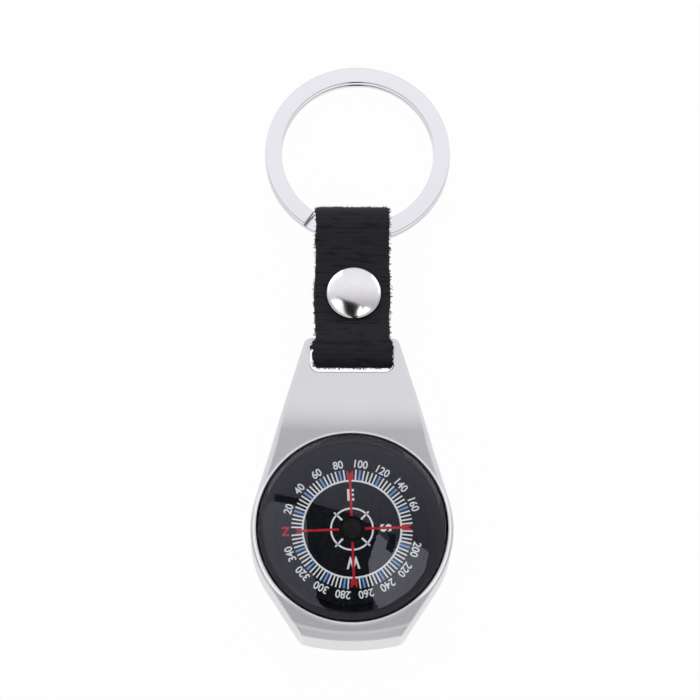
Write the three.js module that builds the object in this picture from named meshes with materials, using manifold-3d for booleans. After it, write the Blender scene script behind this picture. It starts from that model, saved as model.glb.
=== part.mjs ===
// Compass keychain: a die-cast housing with a sealed compass capsule, a riveted webbing strap and a split ring.
// Millimetres. The housing's back lies on z = 0, the compass needle stands on the z axis, and +Y runs towards the ring.
import * as THREE from "three";
import { mergeVertices } from "three/addons/utils/BufferGeometryUtils.js";
import Module from "manifold-3d";

// Housing: a round head with a short blunt end, and a neck that thins to a tab for the strap.
const headDiameter = 32.5;
const headWall = 0.92; // thinnest metal, beside the capsule
const crownHeight = 9.3;
const floorThickness = 1.6;
const edgeChamfer = 0.65;
const lipWidth = 0.24; // raised rim round the lens
const lipFlank = 0.34; // run of its sloped outer face
const lipHeight = 0.9;
const endOverhang = 2.05; // blunt end past the round head
const endHalfWidth = 8.1;
const endBow = 0.95;
const endChamferRun = 1.5;
const endChamferDrop = 1.2;
const chamferBow = 0.6; // how much more the chamfer's upper line bows than the end
const neckLength = 15.65; // round head to the tab's edge
const neckBend = 5; // stretch over which the neck's faces turn down
const tabLift = 3.95; // tab's underside above the table
const tabThickness = 2.5;
const tabCorner = 0.8;
const tabSideWall = 0.75;
const barWidth = 1.3; // metal left past the slot
const slotCorner = 1.5; // on the neck's side
const barCorner = 0.5; // beside the bar, small so that the strap can turn

// Capsule: a black cup glued into the housing, closed by a domed lens.
const pocketGap = 0.15;
const tapeThickness = 0.3;
const tapeWidth = 5;
const cupFloor = 1.2;
const cupWall = 0.98;
const seatBelowLip = 1.6; // lip to the cup's rim, which the lens lies on
const lensGap = 0.22; // dark line between the lens and the lip
const sealThickness = 0.3;
const lensEdge = 1.1; // straight edge of the lens
const lensRound = 0.8;
const lensRise = 1.3;
const lensThickness = 1.3;
const bossRadius = 1.6;
const bossHeight = 1;
const plugRadius = 0.8;
const plugOffset = 6.5;
const fitGap = 0.1;

// Card: printed disc on a float, with two bar magnets and a jewel that sits on the needle.
const needleRadius = 0.4;
const needleHeight = 3.4; // above the cup's floor
const needleSunk = 0.5;
const jewelGap = 0.15;
const jewelRadius = 1.1;
const jewelCrown = 0.55; // jewel above the needle's tip
const cardRadius = 12.2;
const cardThickness = 0.4;
const floatRadius = 8.5;
const floatThickness = 1.2;
const hubRadius = 1.6;
const hubHeight = 0.55;
const magnetLength = 9;
const magnetWidth = 1.6;
const magnetThickness = 0.9;
const magnetSpread = 4; // needle to the middle of each magnet
const cardHeading = 92.2; // degrees that the card stands turned, north to the left

// Strap: one webbing strip, round the housing's bar and the ring, its ends lapped under the rivet.
const strapWidth = 11.8;
const strapThickness = 1;
const layerGap = 0.15;
const strapShift = 0.1;
const slotSideGap = 0.85;
const slotEndGap = 1.5;
const barClearance = 0.3; // strap to the bar as it turns
const eyeClearance = 0.15;
const foldSlack = 0.55;
const lowerTaper = 3.5; // bar to where the layers lie flat
const upperTaper = 7.35; // flat layers to the middle of the ring's eye
const endLap = 0.4;

// Rivet: a hollow dome over a post.
const rivetDiameter = 8.8;
const rivetDome = 1.2;
const rivetRim = 0.4;
const rivetMetal = 0.5;
const rivetShift = 0.22; // off the strap's middle
const stemRadius = 1.45;
const stemRise = 0.6;
const baseDome = 1.1;
const restGap = 0.2;

// Split ring: flat wire, nearly two turns, with a joggle hidden in the strap.
const ringDiameter = 30.3;
const wireWidth = 2.65;
const wireThickness = 0.9;
const wireEdge = 0.22;
const coilGap = 0.45;
const ringShift = 1;
const ringEndAngle = 234.6; // degrees, where the upper turn ends
const joggleAngle = 40;
const ringStep = 6;
const tableGap = 0.05;

const roundSteps = 40;
const smallSteps = 20;

const headRadius = headDiameter / 2;
const pocketRadius = headRadius - headWall;
const endReach = headRadius + endOverhang;
const tabReach = headRadius + neckLength;
const slotHalfWidth = strapWidth / 2 + slotSideGap;
const tabHalfWidth = slotHalfWidth + tabSideWall;
const barY = tabReach - barWidth / 2;
const barZ = tabLift + tabThickness / 2;
const layerPitch = strapThickness + layerGap;

const wasm = await Module();
wasm.setup();

// Welds a geometry into one closed shell whose faces point out.
function closed(geometry) {
  const bare = new THREE.BufferGeometry();
  bare.setAttribute("position", geometry.getAttribute("position"));
  if (geometry.index) bare.setIndex(geometry.index);
  const welded = mergeVertices(bare, 1e-4);
  const p = welded.getAttribute("position");
  const old = welded.index.array;
  const index = [];
  let volume = 0;
  const [a, b, c] = [new THREE.Vector3(), new THREE.Vector3(), new THREE.Vector3()];
  for (let i = 0; i < old.length; i += 3) {
    const [u, v, w] = [old[i], old[i + 1], old[i + 2]];
    if (u === v || v === w || w === u) continue;
    index.push(u, v, w);
    a.fromBufferAttribute(p, u);
    b.fromBufferAttribute(p, v);
    c.fromBufferAttribute(p, w);
    volume += a.dot(b.cross(c));
  }
  if (volume < 0) index.reverse();
  welded.setIndex(index);
  return welded;
}

function toSolid(geometry) {
  const shell = closed(geometry);
  return new wasm.Manifold(
    new wasm.Mesh({
      numProp: 3,
      vertProperties: new Float32Array(shell.getAttribute("position").array),
      triVerts: new Uint32Array(shell.index.array),
    }),
  );
}

function toGeometry(solid) {
  const mesh = solid.getMesh();
  const geometry = new THREE.BufferGeometry();
  geometry.setAttribute("position", new THREE.BufferAttribute(mesh.vertProperties, 3));
  geometry.setIndex(new THREE.BufferAttribute(mesh.triVerts, 1));
  return geometry;
}

function cut(geometry, ...tools) {
  return toGeometry(tools.reduce((left, tool) => left.subtract(toSolid(tool)), toSolid(geometry)));
}

function join(geometry, ...others) {
  return toGeometry(others.reduce((left, other) => left.add(toSolid(other)), toSolid(geometry)));
}

// Turns [radius, height] points round the z axis.
function turned(profile, steps = roundSteps) {
  const points = profile.map(([r, z]) => new THREE.Vector2(r, z));
  return closed(new THREE.LatheGeometry(points, steps).rotateX(Math.PI / 2));
}

function disc(radius, bottom, top, steps = roundSteps) {
  return turned([[0, bottom], [radius, bottom], [radius, top], [0, top]], steps);
}

function washer(inner, outer, bottom, top, steps = roundSteps) {
  return turned(
    [[inner, bottom], [outer, bottom], [outer, top], [inner, top], [inner, bottom]],
    steps,
  );
}

// Points of a dome's outline from its middle to its edge, at a rise over a radius.
function dome(radius, edge, rise, count) {
  return Array.from({ length: count + 1 }, (_, i) => {
    const r = (radius * i) / count;
    return [r, edge + rise * (1 - (r / radius) ** 2)];
  });
}

// Half the plan's width at a place along the housing: lines tangent to the round head, and rounded tab corners.
function tangentPoint(x, y) {
  const angle = Math.atan2(y, x);
  const swing = Math.acos(headRadius / Math.hypot(x, y)) * -Math.sign(y);
  return [headRadius * Math.cos(angle + swing), headRadius * Math.sin(angle + swing)];
}

function halfWidth(y) {
  const cornerY = y > 0 ? tabReach : endBow - endReach;
  const cornerX = y > 0 ? tabHalfWidth : endHalfWidth;
  const [touchX, touchY] = tangentPoint(cornerX, cornerY);
  const onHead = Math.abs(y) <= Math.abs(touchY);
  let width = onHead
    ? Math.sqrt(headRadius ** 2 - y ** 2)
    : touchX + ((cornerX - touchX) * (y - touchY)) / (cornerY - touchY);
  const into = y - (tabReach - tabCorner);
  if (into > 0) width -= tabCorner - Math.sqrt(Math.max(0, tabCorner ** 2 - into ** 2));
  return width;
}

// Height of a face that leaves its level at a place and reaches another at the tab's edge, turning over the bend.
function rampHeight(y, level, start, endLevel) {
  const slope = (endLevel - level) / (tabReach - start - neckBend / 2);
  const run = y - start;
  if (run <= 0) return level;
  return run < neckBend
    ? level + (slope * run ** 2) / (2 * neckBend)
    : level + slope * (run - neckBend / 2);
}

const rampStart = pocketRadius + lipWidth + lipFlank + 0.02;
const topHeight = (y) => rampHeight(y, crownHeight, rampStart, tabLift + tabThickness);
const underHeight = (y) => rampHeight(y, 0, rampStart - 2, tabLift);

// The housing's blank is a grid of stations along Y; near the blunt end the stations bow with it.
function housingBlank() {
  const bowFrom = -headRadius * 0.55;
  const stations = [
    -endReach,
    endChamferRun - endReach,
    endChamferRun * 2 - endReach,
    -headRadius * 0.8,
    ...[-0.65, -0.5, -0.35, -0.2, 0, 0.15, 0.3, 0.45, 0.65, 0.85].map((k) => k * headRadius),
    rampStart,
    ...[0.25, 0.5, 0.75, 1].map((k) => rampStart + k * neckBend),
    tabReach - tabCorner,
    ...[0.5, 0.87].map((k) => tabReach - tabCorner + k * tabCorner),
    tabReach,
  ];
  const grid = stations.map((s, j) => {
    const fade = Math.max(0, (bowFrom - s) / (bowFrom + endReach));
    const bow = endBow * fade ** 1.5 + (j === 1 ? chamferBow : 0);
    const bowed = (x) => s + bow * (x / endHalfWidth) ** 2;
    let edge = halfWidth(s);
    for (let k = 0; k < 40; k++) edge = (edge + halfWidth(bowed(edge))) / 2;
    const flat = edge - edgeChamfer;
    return [-edge, -flat, -flat / 2, 0, flat / 2, flat, edge].map((x, i) => {
      const y = bowed(x);
      const onRim = i === 0 || i === 6 || j === stations.length - 1;
      const drop = j === 0 ? endChamferDrop : onRim ? edgeChamfer : 0;
      return { x, y, top: topHeight(y) - drop, under: underHeight(y) };
    });
  });
  const triangles = [];
  const quad = (a, b, c, d) => triangles.push(...a, ...b, ...c, ...a, ...c, ...d);
  const top = (j, i) => [grid[j][i].x, grid[j][i].y, grid[j][i].top];
  const under = (j, i) => [grid[j][i].x, grid[j][i].y, grid[j][i].under];
  const [last, side] = [grid.length - 1, 6];
  for (let j = 0; j < last; j++) {
    for (let i = 0; i < side; i++) {
      quad(top(j, i), top(j, i + 1), top(j + 1, i + 1), top(j + 1, i));
      quad(under(j, i), under(j + 1, i), under(j + 1, i + 1), under(j, i + 1));
    }
    quad(under(j, 0), top(j, 0), top(j + 1, 0), under(j + 1, 0));
    quad(under(j, side), under(j + 1, side), top(j + 1, side), top(j, side));
  }
  for (let i = 0; i < side; i++) {
    quad(under(0, i), under(0, i + 1), top(0, i + 1), top(0, i));
    quad(under(last, i), top(last, i), top(last, i + 1), under(last, i + 1));
  }
  const geometry = new THREE.BufferGeometry();
  geometry.setAttribute("position", new THREE.Float32BufferAttribute(triangles, 3));
  return closed(geometry);
}

// The strap's eyes: the lower clears the bar's corners at any angle, the upper the ring's wire.
const barHalfDiagonal = Math.hypot(barWidth, tabThickness) / 2;
const lowerEye = barHalfDiagonal + barClearance + foldSlack;
const foldReach = foldSlack + lowerEye + strapThickness;
const slotEndY = barY - foldReach - slotEndGap;
const lipTop = crownHeight + lipHeight;

function slotTool() {
  const [left, right, low, high] = [-slotHalfWidth, slotHalfWidth, slotEndY, tabReach - barWidth];
  const outline = new THREE.Shape()
    .moveTo(left + slotCorner, low)
    .lineTo(right - slotCorner, low)
    .absarc(right - slotCorner, low + slotCorner, slotCorner, -Math.PI / 2, 0)
    .lineTo(right, high - barCorner)
    .absarc(right - barCorner, high - barCorner, barCorner, 0, Math.PI / 2)
    .lineTo(left + barCorner, high)
    .absarc(left + barCorner, high - barCorner, barCorner, Math.PI / 2, Math.PI)
    .lineTo(left, low + slotCorner)
    .absarc(left + slotCorner, low + slotCorner, slotCorner, Math.PI, Math.PI * 1.5);
  const depth = crownHeight + 2;
  return new THREE.ExtrudeGeometry(outline, { depth, bevelEnabled: false, curveSegments: 4 }).translate(0, 0, -1);
}

function housing() {
  const [inner, outer] = [pocketRadius - 1, pocketRadius + lipWidth];
  const foot = (lipFlank / lipHeight) * 0.4;
  const lip = turned([
    [inner, crownHeight - 0.4],
    [outer + lipFlank + foot, crownHeight - 0.4],
    [outer, lipTop],
    [inner, lipTop],
    [inner, crownHeight - 0.4],
  ]);
  const pocket = disc(pocketRadius, floorThickness, lipTop + 1);
  return cut(join(housingBlank(), lip), pocket, slotTool());
}

// Capsule heights, from the pocket's floor up.
const cupBottom = floorThickness + tapeThickness;
const cavityFloor = cupBottom + cupFloor;
const cupRadius = pocketRadius - pocketGap;
const cavityRadius = cupRadius - cupWall;
const lensSeat = lipTop - seatBelowLip;
const lensRadius = pocketRadius - lensGap;
const lensBottom = lensSeat + sealThickness;
const needleTip = cavityFloor + needleHeight;
const needleFoot = cavityFloor - needleSunk;

function capsuleCup() {
  const body = turned([
    [0, cupBottom],
    [cupRadius, cupBottom],
    [cupRadius, lensSeat],
    [cavityRadius, lensSeat],
    [cavityRadius, cavityFloor],
    [bossRadius, cavityFloor],
    [bossRadius, cavityFloor + bossHeight],
    [needleRadius + fitGap, cavityFloor + bossHeight],
    [needleRadius + fitGap, needleFoot],
    [0, needleFoot],
  ]);
  const hole = disc(plugRadius + fitGap, cupBottom - 1, cavityFloor + 1, smallSteps);
  return cut(body, hole.translate(plugOffset, 0, 0));
}

function lens() {
  const shoulder = lensBottom + lensEdge;
  const domeRadius = lensRadius - lensRound;
  const domeEdge = shoulder + lensRound;
  const outer = dome(domeRadius, domeEdge, lensRise, 6);
  const inner = dome(domeRadius - lensThickness / 2, domeEdge - lensThickness, lensRise, 6);
  const bead = [1, 2].map((k) => {
    const a = (k * Math.PI) / 6;
    return [domeRadius + lensRound * Math.sin(a), shoulder + lensRound * Math.cos(a)];
  });
  return turned([
    ...outer,
    ...bead,
    [lensRadius, shoulder],
    [lensRadius, lensBottom],
    [domeRadius - lensThickness / 2, lensBottom],
    ...inner.reverse(),
  ]);
}

function pivotPin() {
  return turned(
    [[0, needleFoot], [needleRadius, needleFoot], [needleRadius, needleTip - 1.2], [0, needleTip]],
    smallSteps,
  );
}

// Card heights, from the needle's tip.
const jewelTop = needleTip + jewelCrown;
const cardBottom = jewelTop - cardThickness;
const floatBottom = cardBottom - floatThickness;

function jewelBearing() {
  const mouth = needleRadius + jewelGap * 2;
  return turned(
    [
      [0, needleTip + jewelGap],
      [mouth, needleTip - 1],
      [mouth, floatBottom],
      [jewelRadius, floatBottom],
      [jewelRadius, jewelTop],
      [0, jewelTop],
    ],
    smallSteps,
  );
}

function magnetBar(side) {
  const bar = new THREE.BoxGeometry(magnetWidth, magnetLength, magnetThickness);
  return bar.translate(side * magnetSpread, 0, floatBottom + magnetThickness / 2);
}

function cardFloat() {
  const ring = washer(jewelRadius + fitGap, floatRadius, floatBottom, cardBottom);
  const room = [magnetWidth, magnetLength].map((size) => size + fitGap * 2);
  const slots = [-1, 1].map((side) =>
    new THREE.BoxGeometry(...room, magnetThickness * 2 + fitGap * 2).translate(side * magnetSpread, 0, floatBottom),
  );
  return cut(ring, ...slots);
}

function hubCap() {
  return turned(
    [...dome(hubRadius, jewelTop + hubHeight / 2, hubHeight / 2, 3), [hubRadius, jewelTop], [0, jewelTop]],
    smallSteps,
  );
}

// Ring: where its wire lies across the strap, and so where it swings.
const ringRadius = ringDiameter / 2;
const innerRadius = ringRadius - wireWidth;
const ringThickness = wireThickness * 2 + coilGap;
const strapReach = strapWidth / 2 + Math.abs(ringShift - strapShift);
const innerAtStrap = Math.sqrt(innerRadius ** 2 - strapReach ** 2);
const ringDrop = (ringRadius + innerAtStrap) / 2; // ring's middle to its hinge
const upperEye = Math.hypot((ringRadius - innerAtStrap) / 2, ringThickness / 2) + eyeClearance;

const rivetAt = lowerTaper + rivetDiameter / 2;
const flatEnd = rivetAt + rivetDiameter / 2;
const eyeAt = flatEnd + upperTaper;

// The strap's middle line in its own plane: along the strap, and out of its front.
function strapLine() {
  const [low, high] = [lowerEye + strapThickness / 2, upperEye + strapThickness / 2];
  const arc = (centre, radius, from, to, count) =>
    Array.from({ length: count + 1 }, (_, i) => {
      const a = from + ((to - from) * i) / count;
      return [centre + radius * Math.cos(a), radius * Math.sin(a)];
    });
  const touch = (centre, radius, along, out) =>
    [Math.atan2(out, along - centre), Math.acos(radius / Math.hypot(along - centre, out))];
  const [toBack, backSwing] = touch(-foldSlack, low, lowerTaper, 0);
  const [toFront, frontSwing] = touch(-foldSlack, low, lowerTaper, layerPitch);
  const [toEye, eyeSwing] = touch(eyeAt, high, flatEnd, layerPitch);
  return [
    [flatEnd + endLap, 0],
    [lowerTaper, 0],
    ...arc(-foldSlack, low, toBack - backSwing, toFront + frontSwing - Math.PI * 2, 12),
    [lowerTaper, layerPitch],
    [flatEnd, layerPitch],
    ...arc(eyeAt, high, toEye - eyeSwing, eyeSwing - toEye, 14),
    [flatEnd, -layerPitch],
    [lowerTaper + endLap, -layerPitch],
  ];
}

// Both sides of a line at half a thickness, mitred at its corners, as one closed outline.
function ribbonOutline(line, thickness) {
  const side = (sign) =>
    line.map(([x, y], i) => {
      const [before, after] = [line[Math.max(0, i - 1)], line[Math.min(line.length - 1, i + 1)]];
      const heading = ([ax, ay], [bx, by]) => Math.atan2(by - ay, bx - ax);
      const first = i ? heading(before, [x, y]) : heading([x, y], after);
      const second = i < line.length - 1 ? heading([x, y], after) : first;
      const turn = Math.atan2(Math.sin(second - first), Math.cos(second - first)) / 2;
      const reach = (sign * thickness) / 2 / Math.cos(turn);
      const normal = first + turn + Math.PI / 2;
      return new THREE.Vector2(x + reach * Math.cos(normal), y + reach * Math.sin(normal));
    });
  return new THREE.Shape([...side(1), ...side(-1).reverse()]);
}

const alongStrap = new THREE.Matrix4().makeBasis(
  new THREE.Vector3(0, 1, 0),
  new THREE.Vector3(0, 0, 1),
  new THREE.Vector3(1, 0, 0),
);

function strap() {
  const outline = ribbonOutline(strapLine(), strapThickness);
  const ribbon = new THREE.ExtrudeGeometry(outline, { depth: strapWidth, bevelEnabled: false })
    .translate(0, 0, strapShift - strapWidth / 2)
    .applyMatrix4(alongStrap);
  const hole = disc(stemRadius + fitGap, -layerPitch * 2, layerPitch * 2, smallSteps);
  return cut(ribbon, hole.translate(strapShift + rivetShift, rivetAt, 0));
}

const stackFace = layerPitch + strapThickness / 2 + restGap;

function rivetCap() {
  const radius = rivetDiameter / 2;
  const shell = dome(radius, stackFace + rivetRim, rivetDome - rivetRim, 5);
  const inside = dome(radius - rivetMetal, stackFace + rivetRim / 2, rivetDome - rivetRim - rivetMetal / 2, 4);
  const cap = turned([...shell, [radius, stackFace], [radius - rivetMetal, stackFace], ...inside.reverse()], smallSteps + 4);
  return cap.translate(strapShift + rivetShift, rivetAt, 0);
}

function rivetPost() {
  const radius = rivetDiameter / 2;
  const base = dome(radius, -stackFace - rivetRim, -baseDome + rivetRim, 4);
  const post = turned(
    [
      ...base,
      [radius, -stackFace],
      [stemRadius, -stackFace],
      [stemRadius, stackFace + stemRise - rivetRim],
      [stemRadius - rivetRim, stackFace + stemRise],
      [0, stackFace + stemRise],
    ],
    smallSteps + 4,
  );
  return post.translate(strapShift + rivetShift, rivetAt, 0);
}

// The ring's wire: a flat section swept round the lower turn, up the joggle and round the upper turn.
function ringSections() {
  const [start, turn] = [ringEndAngle + joggleAngle, 360 - joggleAngle];
  const steps = Math.round((turn * 2 + joggleAngle) / ringStep);
  const rise = (wireThickness + coilGap) / 2;
  const [halfWide, halfThick] = [wireWidth / 2, wireThickness / 2];
  const outline = [
    [-halfWide, wireEdge - halfThick], [wireEdge - halfWide, -halfThick],
    [halfWide - wireEdge, -halfThick], [halfWide, wireEdge - halfThick],
    [halfWide, halfThick - wireEdge], [halfWide - wireEdge, halfThick],
    [wireEdge - halfWide, halfThick], [-halfWide, halfThick - wireEdge],
  ];
  return Array.from({ length: steps + 1 }, (_, i) => {
    const travel = ((turn * 2 + joggleAngle) * i) / steps;
    const through = THREE.MathUtils.smoothstep(travel, turn, turn + joggleAngle);
    const level = -rise + 2 * rise * through;
    const angle = THREE.MathUtils.degToRad(start + travel);
    return outline.map(([wide, thick]) => {
      const radius = ringRadius - halfWide + wide;
      return new THREE.Vector3(ringShift + radius * Math.cos(angle), ringDrop + radius * Math.sin(angle), level + thick);
    });
  });
}

function splitRing() {
  const sections = ringSections();
  const sides = sections[0].length;
  const at = (i, k) => i * sides + (k % sides);
  const index = [];
  for (let i = 0; i + 1 < sections.length; i++)
    for (let k = 0; k < sides; k++)
      index.push(at(i, k), at(i, k + 1), at(i + 1, k + 1), at(i, k), at(i + 1, k + 1), at(i + 1, k));
  for (let k = 1; k + 1 < sides; k++) {
    const end = sections.length - 1;
    index.push(at(0, 0), at(0, k + 1), at(0, k), at(end, 0), at(end, k), at(end, k + 1));
  }
  const geometry = new THREE.BufferGeometry().setFromPoints(sections.flat());
  geometry.setIndex(index);
  const nearest = leastCoilGap(sections);
  console.log(`split ring: least gap between its turns ${nearest.toFixed(2)} mm`);
  return closed(geometry);
}

// Least distance between points of the wire that are more than half a turn apart along it.
function leastCoilGap(sections) {
  const apart = Math.round(180 / ringStep);
  let least = Infinity;
  sections.forEach((section, i) =>
    sections.slice(i + apart).forEach((other) =>
      section.forEach((p) => other.forEach((q) => (least = Math.min(least, p.distanceTo(q))))),
    ),
  );
  return least;
}

const nickel = { color: 0xb9bbc0, metalness: 1, roughness: 0.35 };
const chrome = { color: 0xd8dade, metalness: 1, roughness: 0.15 };
const steel = { color: 0x9a9da3, metalness: 1, roughness: 0.3 };
const brass = { color: 0xb08d4a, metalness: 1, roughness: 0.35 };
const blackPlastic = { color: 0x161719, metalness: 0, roughness: 0.5 };
const clearPlastic = { color: 0xe6eaee, metalness: 0, roughness: 0.05, transparent: true, opacity: 0.35 };
const ferrite = { color: 0x2c2c30, metalness: 0.2, roughness: 0.7 };
const rubber = { color: 0x202022, metalness: 0, roughness: 0.9 };
const tapeFoam = { color: 0xcfd2d4, metalness: 0, roughness: 0.9 };
const webbing = { color: 0x1b1c20, metalness: 0, roughness: 0.95 };

function piece(name, geometry, look) {
  const mesh = new THREE.Mesh(geometry, new THREE.MeshStandardMaterial(look));
  mesh.name = name;
  return mesh;
}

const keychain = new THREE.Group();
keychain.name = "compass_keychain";
keychain.add(
  piece("housing", housing(), nickel),
  piece("capsule_tape", washer(cupRadius - tapeWidth, cupRadius - pocketGap, floorThickness, cupBottom), tapeFoam),
  piece("capsule_cup", capsuleCup(), blackPlastic),
  piece("filler_plug", disc(plugRadius, cupBottom, cavityFloor, smallSteps).translate(plugOffset, 0, 0), rubber),
  piece("pivot_pin", pivotPin(), steel),
  piece("lens_seal", washer(cavityRadius + fitGap, lensRadius - fitGap, lensSeat, lensBottom), rubber),
  piece("lens", lens(), clearPlastic),
);

const card = new THREE.Group();
card.add(
  piece("card_float", cardFloat(), blackPlastic),
  piece("card_face", washer(jewelRadius + fitGap, cardRadius, cardBottom, jewelTop), blackPlastic),
  piece("jewel_bearing", jewelBearing(), brass),
  piece("hub_cap", hubCap(), brass),
  piece("magnet_left", magnetBar(-1), ferrite),
  piece("magnet_right", magnetBar(1), ferrite),
);
card.rotation.z = THREE.MathUtils.degToRad(cardHeading);
keychain.add(card);

// At rest the strap's upper eye and the ring's far side lie on the table.
const hingeZ = upperEye + strapThickness + tableGap;
const strapSlope = Math.asin((barZ - hingeZ) / eyeAt);
const farReach = ringDrop + ringRadius;
const ringSlope =
  Math.asin((hingeZ - tableGap) / Math.hypot(farReach, ringThickness / 2)) -
  Math.atan2(ringThickness / 2, farReach);

const strapGroup = new THREE.Group();
strapGroup.add(
  piece("strap", strap(), webbing),
  piece("rivet_cap", rivetCap(), chrome),
  piece("rivet_post", rivetPost(), chrome),
);
strapGroup.position.set(0, barY, barZ);
strapGroup.rotation.x = -strapSlope;
keychain.add(strapGroup);

const hingeY = barY + eyeAt * Math.cos(strapSlope);
const ringGroup = new THREE.Group();
ringGroup.add(piece("split_ring", splitRing(), steel));
ringGroup.position.set(0, hingeY, hingeZ);
ringGroup.rotation.x = -ringSlope;
keychain.add(ringGroup);

const overallLength = hingeY + farReach * Math.cos(ringSlope) + endReach;
console.log(`overall length ${overallLength.toFixed(1)} mm, strap hinge (${barY.toFixed(3)}, ${barZ.toFixed(3)}), ring hinge (${hingeY.toFixed(3)}, ${hingeZ.toFixed(3)})`);
console.log(`strap slope ${THREE.MathUtils.radToDeg(strapSlope).toFixed(2)}, ring slope ${THREE.MathUtils.radToDeg(ringSlope).toFixed(2)} degrees`);

export default keychain;
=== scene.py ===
# %% [markdown]
# # A compass keychain
# A satin nickel housing holds a sealed compass capsule. A folded strip of black webbing, closed by one rivet,
# ties it to a split ring.
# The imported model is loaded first. Its nodes say where each piece is, and each piece made here is finer and lies
# in the same place.

# %% Load the frame
import math

import bmesh
import bpy
from mathutils import Matrix, Vector, noise


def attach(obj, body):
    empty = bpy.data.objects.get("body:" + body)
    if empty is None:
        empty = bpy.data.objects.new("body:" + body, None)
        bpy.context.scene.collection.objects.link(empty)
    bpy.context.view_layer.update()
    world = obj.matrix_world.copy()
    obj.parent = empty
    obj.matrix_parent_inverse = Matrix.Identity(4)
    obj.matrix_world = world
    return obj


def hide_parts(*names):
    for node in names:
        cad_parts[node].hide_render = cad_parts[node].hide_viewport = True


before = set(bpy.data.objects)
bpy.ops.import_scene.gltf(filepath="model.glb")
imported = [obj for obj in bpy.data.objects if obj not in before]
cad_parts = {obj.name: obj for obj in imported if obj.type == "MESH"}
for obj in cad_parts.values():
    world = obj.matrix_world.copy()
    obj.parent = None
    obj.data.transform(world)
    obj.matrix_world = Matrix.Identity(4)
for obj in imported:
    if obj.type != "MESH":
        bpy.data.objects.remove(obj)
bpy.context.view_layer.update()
MM = 0.001

# %% [markdown]
# ## Camera
# The photo looks down on the table from far away with a long lens, tilted about 13 degrees towards the compass
# end, so round pieces are nearly round and walls that face the viewer just show.
# A camera can be aimed with a constraint. Its axes are written out here instead, so that the picture's up is the
# object's +Y with no roll.

# %% Camera
camera_at = Vector((-10, -133.57, 697.14)) * MM
aim_at = Vector((-0.27, 30.22, 5)) * MM
dial_at = Vector((0, 0, 10)) * MM
camera_data = bpy.data.cameras.new("photo_camera")
camera_data.sensor_width, camera_data.lens = 36, 225.8
camera_data.clip_start, camera_data.clip_end = 0.01, 50
back = (camera_at - aim_at).normalized()
right = Vector((0, 1, 0)).cross(back).normalized()
up = back.cross(right)
camera = bpy.data.objects.new("photo_camera", camera_data)
camera.matrix_world = Matrix.Translation(camera_at) @ Matrix((right, up, back)).transposed().to_4x4()
scene = bpy.context.scene
scene.collection.objects.link(camera)
scene.camera = camera
scene.view_settings.view_transform = "Standard"
print("camera to the dial", round((camera_at - dial_at).length / MM), "mm")

# %% [markdown]
# ## Finishes
# Every finish is a small node tree. One function turns a written colour into the linear values that shaders work
# with, and one adds a node with its settings, its values and its links.
# Patterns read object coordinates in metres, so a grain of 0.1 mm is a noise of scale 1 / 0.0001.

# %% Colours and nodes
def linear(hex_colour):
    """An sRGB hex colour as linear RGBA."""
    channels = [int(hex_colour[i:i + 2], 16) / 255 for i in (1, 3, 5)]
    return (*[c / 12.92 if c <= 0.04045 else ((c + 0.055) / 1.055) ** 2.4 for c in channels], 1)


def add_node(tree, kind, settings={}, values={}, links={}):
    """Adds a node: its properties, its inputs' values and its links, where a node stands for its first output."""
    node = tree.nodes.new(kind)
    for name, value in settings.items():
        setattr(node, name, value)
    for name, value in values.items():
        node.inputs[name].default_value = value
    for name, source in links.items():
        socket = source.outputs[0] if isinstance(source, bpy.types.Node) else source
        tree.links.new(socket, node.inputs[name])
    return node


def start_finish(name):
    """An empty material and its node tree."""
    material = bpy.data.materials.new(name)
    material.use_nodes = True
    material.node_tree.nodes.clear()
    return material, material.node_tree


# Settings that many nodes share: what a Math node does, a mix of colours, and a range with soft ends.
WORKS = ("ADD", "SUBTRACT", "MULTIPLY", "DIVIDE", "MODULO", "MULTIPLY_ADD", "SINE", "ABSOLUTE", "MAXIMUM")
ADD, SUBTRACT, MULTIPLY, DIVIDE, MODULO, MULTIPLY_ADD, SINE, ABSOLUTE, MAXIMUM = [{"operation": w} for w in WORKS]
OF_COLOURS, SOFT_ENDS = {"data_type": "RGBA"}, {"interpolation_type": "SMOOTHSTEP"}
RANGE = ("From Min", "From Max", "To Min", "To Max")
print("nickel grey in linear", [round(c, 3) for c in linear("#d6d6d9")[:3]])

# %% [markdown]
# ### One recipe
# Most finishes here differ in colour, gloss and grain alone: a noise mixes two close colours, a noise spreads the
# gloss, and a noise raises a fine relief. Image textures could carry all three, but a noise has no seams. One
# function writes the recipe down.

# %% Grained finishes
METAL = {"Metallic": 1}


def grained(name, dark, pale, gloss, relief, grains, optics, span=(0, 1)):
    """A finish whose colour, gloss and relief each follow a noise, given as its grain in mm and its detail.

    Gloss is the least and the most roughness, over a span of the noise. Relief is a bump's strength and depth in mm.
    """
    material, tree = start_finish(name)
    place = add_node(tree, "ShaderNodeTexCoord").outputs["Object"]
    cloud, wear, pits = [add_node(tree, "ShaderNodeTexNoise", values={"Scale": 1 / (grain * MM), "Detail": detail},
                                  links={"Vector": place}) for grain, detail in grains]
    colour = add_node(tree, "ShaderNodeMix", OF_COLOURS, {6: linear(dark), 7: linear(pale)}, {0: cloud})
    rough = add_node(tree, "ShaderNodeMapRange", values=dict(zip(RANGE, (*span, *gloss))), links={"Value": wear})
    bump = add_node(tree, "ShaderNodeBump", values={"Strength": relief[0], "Distance": relief[1] * MM},
                    links={"Height": pits})
    shader = add_node(tree, "ShaderNodeBsdfPrincipled", values=optics,
                      links={"Base Color": colour.outputs[2], "Roughness": rough, "Normal": bump})
    add_node(tree, "ShaderNodeOutputMaterial", links={"Surface": shader})
    return material


print("recipe ready")

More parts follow.
